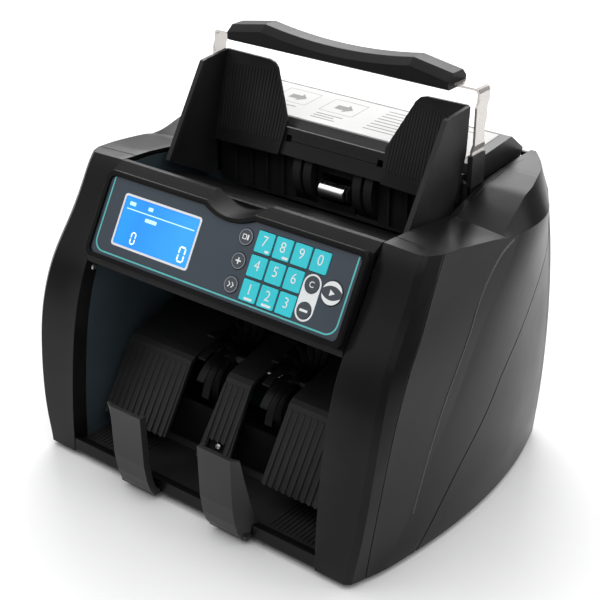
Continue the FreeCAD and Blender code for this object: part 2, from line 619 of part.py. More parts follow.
# shallow ribs either side
rb = []
for x in (44, 58, 72, 86):
    for sx in (-1, 1):
        rb.append(box(sx * x - 0.8, sx * x + 0.8, 154.6, 157.4, 160, 190.0))
for sx in (-1, 1):
    rb.append(box(min(sx * 97.0, sx * 101.9), max(sx * 97.0, sx * 101.9), 157.2, 159.6, 156.0, 189.4))
back_wall = fuse(back_wall, *rb)
add("hopper_back_wall", back_wall)

# pick-up wheels and shaft
pick = cyl_x(-110.0, 124.0, FEED_Y, FEED_Z, SHAFT_R)
add("pickup_shaft", pick)
pw_list = []
for sx in (-1, 1):
    for xc in (20.4, 29.4):
        wv = cyl_x(sx * xc - 3.2, sx * xc + 3.2, FEED_Y, FEED_Z, FEED_R).cut(cyl_x(-60, 60, FEED_Y, FEED_Z, 9.0))
        pw_list.append(wv)
add("pickup_tyres", Part.makeCompound(pw_list))
hubs = []
for sx in (-1, 1):
    h = cyl_x(sx * 24.9 - 8.6, sx * 24.9 + 8.6, FEED_Y, FEED_Z, 9.0).cut(cyl_x(-60, 60, FEED_Y, FEED_Z, SHAFT_R))
    hubs.append(h)
HUBS = hubs

# pressure roller on its own axle, in a small yoke
axle_r = 1.5
roller = cyl_x(-10.5, 10.5, CHROME_Y, CHROME_Z, CHROME_R).cut(cyl_x(-20, 20, CHROME_Y, CHROME_Z, axle_r + 0.05))
re = [e for e in roller.Edges if abs(e.Length - 2 * math.pi * CHROME_R) < 0.5]
roller = roller.makeFillet(0.8, re)
add("pressure_roller", roller)
yoke = []
for sx in (-1, 1):
    y_ = prism_x([(152.6, 169.6), (152.6, 175.8), (158.0, 178.3), (164.8, 178.3), (164.8, 165.0), (158.0, 165.0)], 0, 1.2)
    y_.translate(V(11.05 if sx > 0 else -12.25, 0, 0))
    yoke.append(y_)
cross = box(-12.25, 12.25, 163.4, 164.8, 165.0, 171.0)
ears = [box(11.05, 15.2, 159.2, 164.8, 165.0, 171.0), box(-15.2, -11.05, 159.2, 164.8, 165.0, 171.0)]
yoke_s = fuse(yoke[0], yoke[1], cross, *ears, cyl_x(-12.25, 12.25, CHROME_Y, CHROME_Z, axle_r))
parts["hopper_back_wall"] = clean(fuse(parts["hopper_back_wall"], yoke_s))

# main transport rollers
add("drive_shaft", cyl_x(-110.0, 124.0, DRUM_Y, DRUM_Z, SHAFT_R))
drum = []
for sx in (-1, 1):
    drum.append(cyl_x(sx * 27 - 9, sx * 27 + 9, DRUM_Y, DRUM_Z, DRUM_R).cut(cyl_x(-60, 60, DRUM_Y, DRUM_Z, SHAFT_R)))
add("transport_rollers", Part.makeCompound(drum))

# spiral stacker wheels
add("stacker_shaft", cyl_x(-110.0, 124.0, STACK_Y, STACK_Z, SHAFT_R))


def spiral_wheel(xc, width):
    hub = Part.Wire([Part.makeCircle(11.5, V(xc - width / 2, 0, 0), V(1, 0, 0))])
    hubf = Part.Face(hub).extrude(V(width, 0, 0))
    bl = []
    n = 14
    for k in range(n):
        a0 = 2 * math.pi * k / n
        inner_pts, outer_pts = [], []
        for j in range(7):
            s = j / 6.0
            r = 10.6 + (STACK_R - 10.6) * s
            a = a0 + 0.95 * s ** 0.9
            th = 0.75 - 0.2 * s
            inner_pts.append((r, a - th / r))
            outer_pts.append((r, a + th / r))
        P = [V(xc - width / 2, r * math.cos(a), r * math.sin(a)) for r, a in inner_pts]
        Q = [V(xc - width / 2, r * math.cos(a), r * math.sin(a)) for r, a in outer_pts]
        s1 = Part.BSplineCurve(); s1.interpolate(P)
        s2 = Part.BSplineCurve(); s2.interpolate(Q)
        w = Part.Wire([s1.toShape(), Part.makeLine(P[-1], Q[-1]), s2.toShape(), Part.makeLine(Q[0], P[0])])
        bl.append(Part.Face(w).extrude(V(width, 0, 0)))
    g = hubf.multiFuse(bl)
    g.translate(V(0, STACK_Y, STACK_Z))
    return g.cut(cyl_x(-60, 60, STACK_Y, STACK_Z, SHAFT_R))


sw = spiral_wheel(27.0, 6.0)
add("stacker_wheels", Part.makeCompound([sw, mirror(sw)]))

# ---------------------------------------------------------------------------
# drive: motor, pulleys and belts outside the right side plate
# ---------------------------------------------------------------------------
motor = cyl_x(34.0, 103.0, MOTOR_Y, MOTOR_Z, 21.0)
motor = motor.fuse(cyl_x(103.0, SIDE_IN, MOTOR_Y, MOTOR_Z, 10.0)).cut(cyl_x(90, 112, MOTOR_Y, MOTOR_Z, 2.6))
add("drive_motor", motor)


def pulley(x0, r, y, z, bore, width=6.0):
    p = cyl_x(x0, x0 + width, y, z, r)
    p = p.fuse(cyl_x(x0 - 1.0, x0, y, z, r + 2.2)).fuse(cyl_x(x0 + width, x0 + width + 1.0, y, z, r + 2.2))
    return p.cut(cyl_x(x0 - 5, x0 + 20, y, z, bore)).removeSplitter()


def belt(x0, x1, c1, r1, c2, r2, t=1.3, clear=0.15):
    """Closed flat belt round two pulleys."""
    def loop(e):
        R1, R2 = r1 + clear + e, r2 + clear + e
        dy, dz = c2[0] - c1[0], c2[1] - c1[1]
        L = math.hypot(dy, dz)
        ang = math.atan2(dz, dy)
        b = math.acos((R1 - R2) / L)
        def P(c, R, a):
            return V(x0, c[0] + R * math.cos(a), c[1] + R * math.sin(a))
        a1, a2 = ang + b, ang - b
        e1 = Part.Arc(P(c1, R1, a1), P(c1, R1, ang + math.pi), P(c1, R1, a2)).toShape()
        e2 = Part.Arc(P(c2, R2, a2), P(c2, R2, ang), P(c2, R2, a1)).toShape()
        l1 = Part.makeLine(P(c1, R1, a2), P(c2, R2, a2))
        l2 = Part.makeLine(P(c2, R2, a1), P(c1, R1, a1))
        return Part.Face(Part.Wire([e1, l1, e2, l2]))
    return loop(t).cut(loop(0)).extrude(V(x1 - x0, 0, 0))


MP, DP, DP2, FP, SP = 9.0, 18.0, 13.0, 13.0, 26.0
add("motor_pulley", fuse(pulley(108.0, MP, MOTOR_Y, MOTOR_Z, 2.0), cyl_x(92.0, 117.0, MOTOR_Y, MOTOR_Z, 2.5)))
dp1 = pulley(108.0, DP, DRUM_Y, DRUM_Z, SHAFT_R)
dp2 = pulley(116.6, DP2, DRUM_Y, DRUM_Z, SHAFT_R)
belts = [belt(108.4, 113.6, (MOTOR_Y, MOTOR_Z), MP, (DRUM_Y, DRUM_Z), DP),
         belt(117.0, 122.2, (DRUM_Y, DRUM_Z), DP2, (FEED_Y, FEED_Z), FP)]
# stacker drive on the left side
SDP = 14.0
def pulley_l(r, y, z):
    return mirror(pulley(108.0, r, y, z, SHAFT_R))
parts["drive_shaft"] = cyl_x(-118.0, 126.0, DRUM_Y, DRUM_Z, SHAFT_R)
parts["stacker_shaft"] = fuse(cyl_x(-118.0, 107.5, STACK_Y, STACK_Z, SHAFT_R), pulley_l(SP, STACK_Y, STACK_Z))
parts["pickup_shaft"] = fuse(cyl_x(-107.5, 126.0, FEED_Y, FEED_Z, SHAFT_R), pulley(116.6, FP, FEED_Y, FEED_Z, SHAFT_R), *HUBS)
add("drive_pulleys", Part.makeCompound([dp1, dp2, pulley_l(SDP, DRUM_Y, DRUM_Z)]))
belts.append(mirror(belt(108.4, 113.6, (STACK_Y, STACK_Z), SP, (DRUM_Y, DRUM_Z), SDP)))
add("drive_belts", Part.makeCompound(belts))

# power board, main board, transformer
add("main_board", box(-88, 88, 112, 214, 12.0, 13.6).cut(box(28, 100, 160, 230, 0, 30)))
trans = fuse(box(-78, -28, 150, 196, 14.2, 56.0), box(-84, -22, 166, 180, 13.7, 50))
add("transformer", trans)

# power inlet and rocker switch in the back wall
inlet = box(INLET_X - 14.0, INLET_X + 14.0, BACK_Y - 16.0, BACK_Y, INLET_Z - 10.2, INLET_Z + 10.2)
flange_i = round_box(INLET_X - 16.5, INLET_X + 16.5, BACK_Y, BACK_Y + 1.6, INLET_Z - 12.5, INLET_Z + 12.5, 2.0, "y")
cav = prism_z([(0, 0), (1, 0), (1, 1)], 0, 1)
cw = Part.makePolygon([V(INLET_X - 12, BACK_Y - 13.5, INLET_Z - 8), V(INLET_X + 12, BACK_Y - 13.5, INLET_Z - 8), V(INLET_X + 12, BACK_Y - 13.5, INLET_Z + 3.5),
                       V(INLET_X + 7, BACK_Y - 13.5, INLET_Z + 8), V(INLET_X - 7, BACK_Y - 13.5, INLET_Z + 8), V(INLET_X - 12, BACK_Y - 13.5, INLET_Z + 3.5),
                       V(INLET_X - 12, BACK_Y - 13.5, INLET_Z - 8)])
cavity = Part.Face(cw).extrude(V(0, 20, 0))
inlet = fuse(inlet, flange_i).cut(cavity)
pins = [box(INLET_X + dx - 1.0, INLET_X + dx + 1.0, BACK_Y - 14.5, BACK_Y - 3.0, INLET_Z + dz - 2.0, INLET_Z + dz + 2.0) for dx, dz in ((-7, -2.5), (7, -2.5), (0, 2.5))]
add("power_inlet", fuse(inlet, *pins))
sw_body = box(SWITCH_X - 10.1, SWITCH_X + 10.1, BACK_Y - 14.0, BACK_Y, INLET_Z - 7.1, INLET_Z + 7.1)
sw_fl = round_box(SWITCH_X - 12.0, SWITCH_X + 12.0, BACK_Y, BACK_Y + 1.6, INLET_Z - 9.0, INLET_Z + 9.0, 1.5, "y")
sw_body = fuse(sw_body, sw_fl).cut(box(SWITCH_X - 8.6, SWITCH_X + 8.6, BACK_Y - 9.0, BACK_Y + 5, INLET_Z - 5.6, INLET_Z + 5.6))
RK_Y = BACK_Y - 1.6
sw_body = sw_body.cut(cyl_z(INLET_Z - 6.6, INLET_Z + 6.6, SWITCH_X, RK_Y, 0.85))
add("switch_body", sw_body)
rk = Part.makePolygon([V(SWITCH_X - 7.6, RK_Y - 2.0, INLET_Z - 5.2), V(SWITCH_X - 7.6, RK_Y + 1.2, INLET_Z - 5.2), V(SWITCH_X, RK_Y + 2.6, INLET_Z - 5.2),
                       V(SWITCH_X + 7.6, RK_Y + 4.0, INLET_Z - 5.2), V(SWITCH_X + 7.9, RK_Y + 0.5, INLET_Z - 5.2), V(SWITCH_X, RK_Y - 3.0, INLET_Z - 5.2), V(SWITCH_X - 7.6, RK_Y - 2.0, INLET_Z - 5.2)])
rocker = Part.Face(rk).extrude(V(0, 0, 10.4)).fuse(cyl_z(INLET_Z - 6.4, INLET_Z + 6.4, SWITCH_X, RK_Y, 0.8)).removeSplitter()
add("rocker", rocker)

# ---------------------------------------------------------------------------
# rear lid on its hinge
# ---------------------------------------------------------------------------
LID_W = 98.0
LID_OUT = [(158.8, 207.3), (160.0, 208.9), (164.2, 212.7), (214.0, 216.6), (229.5, 205.0), (229.5, 199.8)]
lid = prism_x(LID_OUT + [(181.5, 198.6), (164.0, 205.4)], -LID_W, LID_W)
lid = lid.cut(prism_x([(161.2, 200.0), (161.2, 208.0), (165.2, 210.9), (213.4, 214.6), (227.5, 204.0), (227.5, 190.0), (170, 190)], -LID_W + 2.0, LID_W - 2.0))
# knuckles under the rear edge, alternating with those of the chassis
LK = [(76.3, 83.7), (90.3, 97.0)]
CK = [(70.0, 76.0), (84.0, 90.0)]
kn = []
for sx in (-1, 1):
    for xa, xb in LK:
        x0, x1 = (xa, xb) if sx > 0 else (-xb, -xa)
        kn.append(cyl_x(x0, x1, HINGE_Y, HINGE_Z, 2.7).fuse(prism_x([(HINGE_Y - 1.2, HINGE_Z), (HINGE_Y - 1.2, 200.4), (226.0, 203.0), (228.0, 203.0), (228.0, 199.8), (HINGE_Y + 2.0, HINGE_Z + 1.0)], x0, x1)))
for sx in (-1, 1):
    for xa, xb in CK:
        x0, x1 = (xa - 0.3, xb + 0.3) if sx > 0 else (-xb - 0.3, -xa + 0.3)
        lid = lid.cut(cyl_x(x0, x1, HINGE_Y, HINGE_Z, 3.1))
lid = fuse(lid, *kn)
for sx in (-1, 1):
    x0, x1 = (69.0, 96.0) if sx > 0 else (-96.0, -69.0)
    lid = lid.cut(cyl_x(x0, x1, HINGE_Y, HINGE_Z, 1.25))
add("rear_lid", lid)
LA = 3.9 / 49.8
def lid_z(y):
    return 212.7 + LA * (y - 164.2)
label = prism_x([(165.4, lid_z(165.4)), (211.6, lid_z(211.6)), (211.58, lid_z(211.6) + 0.25), (165.38, lid_z(165.4) + 0.25)], -90.0, 90.0)
add("lid_label", label)
br = []
for sx in (-1, 1):
    for xa, xb in CK:
        x0, x1 = (xa, xb) if sx > 0 else (-xb, -xa)
        br.append(cyl_x(x0, x1, HINGE_Y, HINGE_Z, 2.7).fuse(prism_x([(HINGE_Y - 2.4, 188.0), (HINGE_Y - 2.4, HINGE_Z), (HINGE_Y + 0.2, HINGE_Z), (HINGE_Y + 0.2, 188.0)], x0, x1)))
    x0, x1 = (70.0, 95.5) if sx > 0 else (-95.5, -70.0)
    br.append(cyl_x(x0, x1, HINGE_Y, HINGE_Z, 1.2))
    br.append(box(x0 if sx > 0 else -95.5, 95.5 if sx > 0 else x1, HINGE_Y - 2.4, HINGE_Y + 0.2, 186.0, 190.5))
hb = [fuse(*br[:4]), fuse(*br[4:])]
add("lid_hinges", Part.makeCompound(hb))

# ---------------------------------------------------------------------------
# carry handle: grip bar on two bent steel strips in plastic sleeves
# ---------------------------------------------------------------------------
def grip_section(x, zt, y0=150.1, y1=170.4, zb=261.4):
    c = 5.4
    h = 4.2
    pts = [V(x, y0, zb), V(x, y0, zt - h), V(x, y0 + c, zt), V(x, y1 - c + 1.5, zt), V(x, y1, zt - h), V(x, y1, zb + 1.2), V(x, y1 - 1.5, zb), V(x, y0 + 1.2, zb)]
    pts[0] = V(x, y0, zb + 1.2)
    return Part.makePolygon(pts + [pts[0]])


def grip_piece(secs):
    return Part.makeLoft([grip_section(x, zt, zb=zb) for x, zt, zb in secs], True, True)


def gz(x):
    # top line between the knuckles: shallow arc
    return 271.0 + 4.9 * (abs(x) / 58.5) ** 2


mid = [(x, gz(x), 261.4) for x in (-58.5, -50, -40, -30, -20, -10, 0, 10, 20, 30, 40, 50, 58.5)]
grip = Part.makeLoft([grip_section(x, zt, zb=zb) for x, zt, zb in mid], True, True)
end_r = Part.makeLoft([grip_section(58.5, 275.9), grip_section(87.3, 271.1)], True, True)
grip = fuse(grip, end_r, mirror(end_r))
grip = grip.cut(box(76.0, 90, 156.0, 170.6, 262.6 - 0.3, 265.2)).cut(box(-90, -76.0, 156.0, 170.6, 262.6 - 0.3, 265.2))
add("handle_grip", grip)

LEG_X0, LEG_X1 = 102.3, 103.9
UP_X0, UP_X1 = 103.7, 105.3


def yz_mask(pts):
    return prism_x(pts, 60, 120)


def strip():
    # centre line in the x-z plane, 1.6 thick, then trimmed to its side view
    prof = [(76.2, 264.4), (102.2, 264.4), (104.2, 263.6), (105.3, 261.4), (UP_X1, 229.0), (LEG_X1, 224.6), (LEG_X1, 163.0),
            (LEG_X0, 163.0), (LEG_X0, 225.2), (UP_X0, 229.6), (UP_X0, 261.0), (103.0, 262.3), (101.8, 262.8), (76.2, 262.8)]
    w = Part.makePolygon([V(x, 140, z) for x, z in prof + [prof[0]]])
    s = Part.Face(w).extrude(V(0, 40, 0))
    side = [(157.2, 270.0), (157.2, 256.6), (155.2, 252.8), (155.2, 160.0), (168.4, 160.0), (168.4, 226.6), (166.4, 229.5), (165.6, 235.0), (166.2, 240.5),
            (167.4, 243.5), (167.6, 252.6), (169.6, 255.4), (169.6, 270.0)]
    return s.common(yz_mask(side))


st = strip()
add("handle_strip_right", st)
add("handle_strip_left", mirror(st))
g0 = fuse(grip_piece([(x, zt, zb) for x, zt, zb in mid]), end_r, mirror(end_r))
slot_r = box(76.2, 92, 157.2, 169.6, 262.8, 264.4)
parts["handle_grip"] = clean(g0.cut(slot_r).cut(mirror(slot_r)))

SLEEVE_TOP = 204.2
sleeve = box(101.3, 104.9, 154.4, 169.2, 201.7, 222.0)
sleeve = sleeve.fuse(box(98.9, 101.9, 153.5, 170.0, 190.0, SLEEVE_TOP)).removeSplitter()
sleeve = sleeve.cut(box(LEG_X0 - 0.3, LEG_X1 + 0.3, 154.9, 168.7, 180, 230))
se = [e for e in sleeve.Edges if abs(e.Length - (SLEEVE_TOP - 190.0)) < 0.1 and e.Vertexes[0].Point.x < 99.0]
sleeve = sleeve.makeFillet(1.0, se)
sleeve = sleeve.cut(cyl_x(98.0, 100.8, RAIL_Y, RAIL_Z, RAIL_R))
add("handle_sleeves", Part.makeCompound([sleeve, mirror(sleeve)]))
add("guide_rail", cyl_x(-100.8, 100.8, RAIL_Y, RAIL_Z, RAIL_R))

# hopper guides: side plate with a leaning ribbed wing
def wing():
    t = 1.8
    def sec(x, yb, zb_, yt, zt):
        pts = [V(x, yb, zb_), V(x, yt, zt), V(x, yt + t, zt), V(x, yb + t, zb_)]
        return Part.makePolygon(pts + [pts[0]])
    ia, ib = 147.8 + LEAN * (190.0 - 193.0), 147.8 + LEAN * (252.0 - 193.0)
    oa, ob = 143.4, 159.4
    w = Part.makeLoft([sec(38.0, ia, 190.0, ib, 252.0), sec(96.0, oa, 190.0, ob, 252.0)], True, True)
    rbs = []
    for k in range(21):
        x = 43.6 + 2.4 * k
        q = (x - 38.0) / 58.0
        yb, yt = ia * (1 - q) + oa * q, ib * (1 - q) + ob * q
        def yy(z):
            return yb + (yt - yb) * (z - 190.0) / 62.0
        rbs.append(prism_x([(yy(200) - 0.4, 200.0), (yy(243) - 0.4, 243.0), (yy(243) + 0.5, 243.0), (yy(200) + 0.5, 200.0)], x - 0.6, x + 0.6))
    ow = Part.makePolygon([V(42.0, 0, 191.2), V(40.2, 0, 213.0), V(53.6, 0, 240.5), V(55.4, 0, 244.6), V(58.6, 0, 247.8), V(63.2, 0, 249.3), V(98.0, 0, 252.0), V(98.0, 0, 191.2), V(42.0, 0, 191.2)])
    mask = Part.Face(ow).extrude(V(0, 250, 0))
    return fuse(w, *rbs).common(mask)


plate_g = [(96.4, 189.4), (134.0, 249.4), (159.8, 251.6), (158.0, 222.0), (152.6, 205.0), (147.4, 193.0), (146.0, 188.0), (143.2, 166.6), (139.0, 166.6)]
g_side = prism_x(plate_g, 95.4, 98.0)
g_side = fuse(g_side, prism_x([(96.4, 189.4), (134.0, 249.4), (137.4, 249.7), (99.8, 189.7)], 94.6, 98.0))
# tab through the wall's slot and a bored block that runs on the rail
tab = box(80.0, 92.0, 147.6, 157.5, 199.7, 201.3)
block = cyl_x(80.0, 92.0, RAIL_Y, RAIL_Z, 3.7).fuse(box(80.0, 92.0, 156.9, RAIL_Y, 199.7, 201.3)).cut(cyl_x(70, 99, RAIL_Y, RAIL_Z, RAIL_R + 0.08))
guide = fuse(g_side, wing().cut(box(97.9, 120, 100, 200, 150, 300)), tab, block.cut(cyl_x(70, 99, RAIL_Y, RAIL_Z, RAIL_R + 0.08)))
add("hopper_guide_right", guide)
add("hopper_guide_left", mirror(guide))

# ---------------------------------------------------------------------------
# shift so that the origin is under the middle of the box, then write
# ---------------------------------------------------------------------------
cx = 0.0
cy = (parts["note_stops"].BoundBox.YMin + parts["rocker"].BoundBox.YMax) / 2
os.makedirs("parts", exist_ok=True)
for f in os.listdir("parts"):
    if f.endswith(".step"):
        os.remove(os.path.join("parts", f))
for name, s in parts.items():
    s = s.copy()
    s.translate(V(-cx, -cy, 0))
    ok = s.isValid()
    s.exportStep("parts/%s.step" % name)
    print("%-24s valid=%s solids=%d vol=%.0f" % (name, ok, len(s.Solids), s.Volume))
print("shift", round(-cx, 3), round(-cy, 3))
print(len(parts), "parts")
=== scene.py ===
import bpy, bmesh, math
from mathutils import Vector, Matrix


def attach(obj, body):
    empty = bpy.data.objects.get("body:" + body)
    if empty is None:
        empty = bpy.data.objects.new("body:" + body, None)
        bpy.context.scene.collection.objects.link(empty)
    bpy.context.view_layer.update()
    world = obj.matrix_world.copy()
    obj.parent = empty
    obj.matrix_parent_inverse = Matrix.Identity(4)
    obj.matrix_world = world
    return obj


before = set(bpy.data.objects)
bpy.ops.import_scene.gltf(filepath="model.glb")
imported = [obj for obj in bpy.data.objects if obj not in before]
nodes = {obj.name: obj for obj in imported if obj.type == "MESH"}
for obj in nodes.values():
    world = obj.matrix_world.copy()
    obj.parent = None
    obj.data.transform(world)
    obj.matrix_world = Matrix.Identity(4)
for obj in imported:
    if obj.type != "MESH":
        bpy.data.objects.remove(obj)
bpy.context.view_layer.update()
MM = 0.001
SHIFT_Y = -109.15          # layout frame (front edge of the columns at y = 0) to row frame, mm
TILT = math.radians(60.1)
CA, SA = math.cos(TILT), math.sin(TILT)
PANEL_Y, PANEL_Z = 24.3, 148.4


# ---------------------------------------------------------------------------
# materials
# ---------------------------------------------------------------------------
def material(name, color, rough, metallic=0.0, grain=0.0, grain_size=0.35, mottle=0.12, rough_var=0.06,
             coat=0.0, coat_rough=0.1, spec=0.5, edge=0.0, brushed=None, emission=None, wear_and_edge_highlight=0.0, alpha=1.0, ior=1.5):
    """Procedural finish: fine moulded grain as bump, slow mottling of colour and gloss, softened edges."""
    m = bpy.data.materials.new(name)
    m.use_nodes = True
    nt = m.node_tree
    b = nt.nodes["Principled BSDF"]
    b.inputs["Metallic"].default_value = metallic
    b.inputs["Specular IOR Level"].default_value = spec
    b.inputs["IOR"].default_value = ior
    b.inputs["Coat Weight"].default_value = coat
    b.inputs["Coat Roughness"].default_value = coat_rough
    tc = nt.nodes.new("ShaderNodeTexCoord")
    # slow variation, a few centimetres across
    n1 = nt.nodes.new("ShaderNodeTexNoise")
    n1.inputs["Scale"].default_value = 28.0
    n1.inputs["Detail"].default_value = 4.0
    n1.inputs["Roughness"].default_value = 0.55
    nt.links.new(tc.outputs["Object"], n1.inputs["Vector"])
    # fine variation, under a millimetre
    n2 = nt.nodes.new("ShaderNodeTexNoise")
    n2.inputs["Scale"].default_value = 1.0 / (grain_size * MM)
    n2.inputs["Detail"].default_value = 2.0
    if brushed:
        mp = nt.nodes.new("ShaderNodeMapping")
        mp.inputs["Scale"].default_value = brushed
        nt.links.new(tc.outputs["Object"], mp.inputs["Vector"])
        nt.links.new(mp.outputs["Vector"], n2.inputs["Vector"])
    else:
        nt.links.new(tc.outputs["Object"], n2.inputs["Vector"])
    ramp = nt.nodes.new("ShaderNodeMapRange")
    ramp.inputs["From Min"].default_value = 0.3
    ramp.inputs["From Max"].default_value = 0.7
    ramp.inputs["To Min"].default_value = 0.0
    ramp.inputs["To Max"].default_value = 1.0
    nt.links.new(n1.outputs["Fac"], ramp.inputs["Value"])
    mix = nt.nodes.new("ShaderNodeMix")
    mix.data_type = "RGBA"
    lo = [c * (1 - mottle) for c in color]
    hi = [min(1.0, c * (1 + mottle)) for c in color]
    mix.inputs[6].default_value = (*lo, 1)
    mix.inputs[7].default_value = (*hi, 1)
    nt.links.new(ramp.outputs["Result"], mix.inputs[0])
    col_out = mix.outputs[2]
    # lighter colour on sharp convex edges, patchy with the slow noise: partly edge wear, partly painted edge highlight
    if wear_and_edge_highlight > 0:
        geo = nt.nodes.new("ShaderNodeNewGeometry")
        wr = nt.nodes.new("ShaderNodeMapRange")
        wr.inputs["From Min"].default_value = 0.52
        wr.inputs["From Max"].default_value = 0.62
        wr.inputs["To Min"].default_value = 0.0
        wr.inputs["To Max"].default_value = wear_and_edge_highlight
        nt.links.new(geo.outputs["Pointiness"], wr.inputs["Value"])
        mul = nt.nodes.new("ShaderNodeMath")
        mul.operation = "MULTIPLY"
        nt.links.new(wr.outputs["Result"], mul.inputs[0])
        nt.links.new(n1.outputs["Fac"], mul.inputs[1])
        m2 = nt.nodes.new("ShaderNodeMix")
        m2.data_type = "RGBA"
        m2.inputs[7].default_value = (*[min(1.0, c * 2.2 + 0.05) for c in color], 1)
        nt.links.new(mul.outputs[0], m2.inputs[0])
        nt.links.new(col_out, m2.inputs[6])
        col_out = m2.outputs[2]
    nt.links.new(col_out, b.inputs["Base Color"])
    # gloss: slow patches plus fine grain
    r1 = nt.nodes.new("ShaderNodeMapRange")
    r1.inputs["From Min"].default_value = 0.3
    r1.inputs["From Max"].default_value = 0.7
    r1.inputs["To Min"].default_value = max(0.02, rough - rough_var)
    r1.inputs["To Max"].default_value = min(1.0, rough + rough_var)
    nt.links.new(n1.outputs["Fac"], r1.inputs["Value"])
    nt.links.new(r1.outputs["Result"], b.inputs["Roughness"])
    nrm = None
    if edge > 0:
        bv = nt.nodes.new("ShaderNodeBevel")
        bv.samples = 4
        bv.inputs["Radius"].default_value = edge * MM
        nrm = bv.outputs["Normal"]
    if grain > 0:
        bp = nt.nodes.new("ShaderNodeBump")
        bp.inputs["Strength"].default_value = grain
        bp.inputs["Distance"].default_value = 0.00006
        nt.links.new(n2.outputs["Fac"], bp.inputs["Height"])
        if nrm is not None:
            nt.links.new(nrm, bp.inputs["Normal"])
        nrm = bp.outputs["Normal"]
    if nrm is not None:
        nt.links.new(nrm, b.inputs["Normal"])
    if emission:
        b.inputs["Emission Color"].default_value = (*emission[0], 1)
        b.inputs["Emission Strength"].default_value = emission[1]
    return m


BLACK = material("satin_black", (0.0046, 0.0046, 0.0052), 0.31, grain=0.30, grain_size=0.45, mottle=0.18, rough_var=0.03, edge=0.6, wear_and_edge_highlight=0.25, spec=0.16)
HOUSING = material("housing_black", (0.0042, 0.0042, 0.0046), 0.34, grain=0.30, grain_size=0.45, mottle=0.18, rough_var=0.03, edge=0.5, wear_and_edge_highlight=0.2, spec=0.09)
GRIP = material("grip_black", (0.0050, 0.0050, 0.0054), 0.34, grain=0.35, grain_size=0.45, mottle=0.18, rough_var=0.04, edge=0.6, wear_and_edge_highlight=0.3, spec=0.11)
LIDM = material("lid_black", (0.0130, 0.0130, 0.0130), 0.34, grain=0.40, grain_size=0.5, mottle=0.18, rough_var=0.04, edge=0.5, wear_and_edge_highlight=0.25, spec=0.30)
FLOORM = material("hopper_floor_black", (0.0048, 0.0048, 0.0050), 0.42, grain=0.6, grain_size=0.4, mottle=0.2, rough_var=0.05, edge=0.4, wear_and_edge_highlight=0.2, spec=0.14)
# note stops: lighter copy of the black, painted light for the front light falling on them
STOPS_PAINTED_LIGHT = material("stop_black_painted_light", (0.0150, 0.0150, 0.0158), 0.42, grain=0.6, grain_size=0.4, mottle=0.15, rough_var=0.05, edge=0.4, wear_and_edge_highlight=0.3, spec=0.32)
SHELL = material("shell_black", (0.0048, 0.0048, 0.0050), 0.31, grain=0.40, grain_size=0.5, mottle=0.18, rough_var=0.035, edge=0.5, wear_and_edge_highlight=0.25, spec=0.19)
INNER = material("matt_black", (0.0090, 0.0090, 0.0095), 0.46, grain=0.8, grain_size=0.4, mottle=0.2, rough_var=0.05, edge=0.4, wear_and_edge_highlight=0.3, spec=0.26)
GUIDE = material("guide_black", (0.0088, 0.0088, 0.0097), 0.48, grain=0.9, grain_size=0.45, mottle=0.2, rough_var=0.05, edge=0.3, wear_and_edge_highlight=0.3, spec=0.23)
SLATE = material("panel_slate", (0.040, 0.054, 0.071), 0.36, grain=0.2, grain_size=0.18, mottle=0.08, rough_var=0.05, edge=0.15, spec=0.35)
TEAL = material("key_teal", (0.036, 0.58, 0.66), 0.36, grain=0.2, grain_size=0.18, mottle=0.05, rough_var=0.04, edge=0.25, spec=0.35)
TEALLINE = material("line_teal", (0.10, 0.50, 0.50), 0.4, mottle=0.04)
KEYDARK = material("key_dark", (0.052, 0.062, 0.074), 0.34, grain=0.2, grain_size=0.18, mottle=0.08, rough_var=0.05, edge=0.2, spec=0.35)
WHITE = material("print_white", (0.78, 0.80, 0.81), 0.42, mottle=0.03, rough_var=0.03)
GREYPRINT = material("print_grey", (0.26, 0.29, 0.32), 0.42, mottle=0.05, rough_var=0.03)
PLATE = material("bluegrey_plate", (0.044, 0.062, 0.074), 0.42, grain=0.6, grain_size=0.6, mottle=0.12, rough_var=0.05, edge=0.2, spec=0.4)
STRIP = material("strip_steel", (0.66, 0.63, 0.60), 0.30, metallic=0.75, grain=0.5, grain_size=0.25, mottle=0.06, rough_var=0.06, brushed=(1, 1, 0.06), edge=0.25)
SHAFT = material("shaft_steel", (0.56, 0.57, 0.58), 0.28, metallic=1.0, grain=0.4, grain_size=0.2, mottle=0.05, brushed=(0.1, 1, 1))
CHROME = material("roller_chrome", (0.80, 0.80, 0.81), 0.16, metallic=1.0, grain=0.15, grain_size=0.3, mottle=0.03, rough_var=0.04, edge=0.2)
RUBBER = material("rubber_black", (0.014, 0.014, 0.014), 0.72, grain=0.9, grain_size=0.5, mottle=0.2, spec=0.3)
TYRE = material("tyre_rubber", (0.018, 0.018, 0.019), 0.6, grain=0.9, grain_size=0.5, mottle=0.2, spec=0.3)
NYLON = material("nylon", (0.55, 0.54, 0.50), 0.45, grain=0.3, mottle=0.06)
BRASS = material("bush_brass", (0.50, 0.36, 0.16), 0.35, metallic=1.0, grain=0.3, mottle=0.1)
MOTOR = material("motor_can", (0.48, 0.49, 0.50), 0.34, metallic=1.0, grain=0.3, mottle=0.06, brushed=(1, 1, 0.1))
IRON = material("core_iron", (0.10, 0.09, 0.085), 0.5, metallic=0.6, grain=0.5, mottle=0.2)
BOARD = material("board_green", (0.008, 0.055, 0.022), 0.45, grain=0.4, grain_size=0.8, mottle=0.25)
PAPER = material("label_paper", (0.47, 0.47, 0.46), 0.40, grain=0.2, grain_size=0.3, mottle=0.03, rough_var=0.05, spec=0.4)
WHEEL = material("wheel_black", (0.0045, 0.0045, 0.0048), 0.5, grain=0.5, grain_size=0.4, mottle=0.2, rough_var=0.05, edge=0.2, spec=0.18)
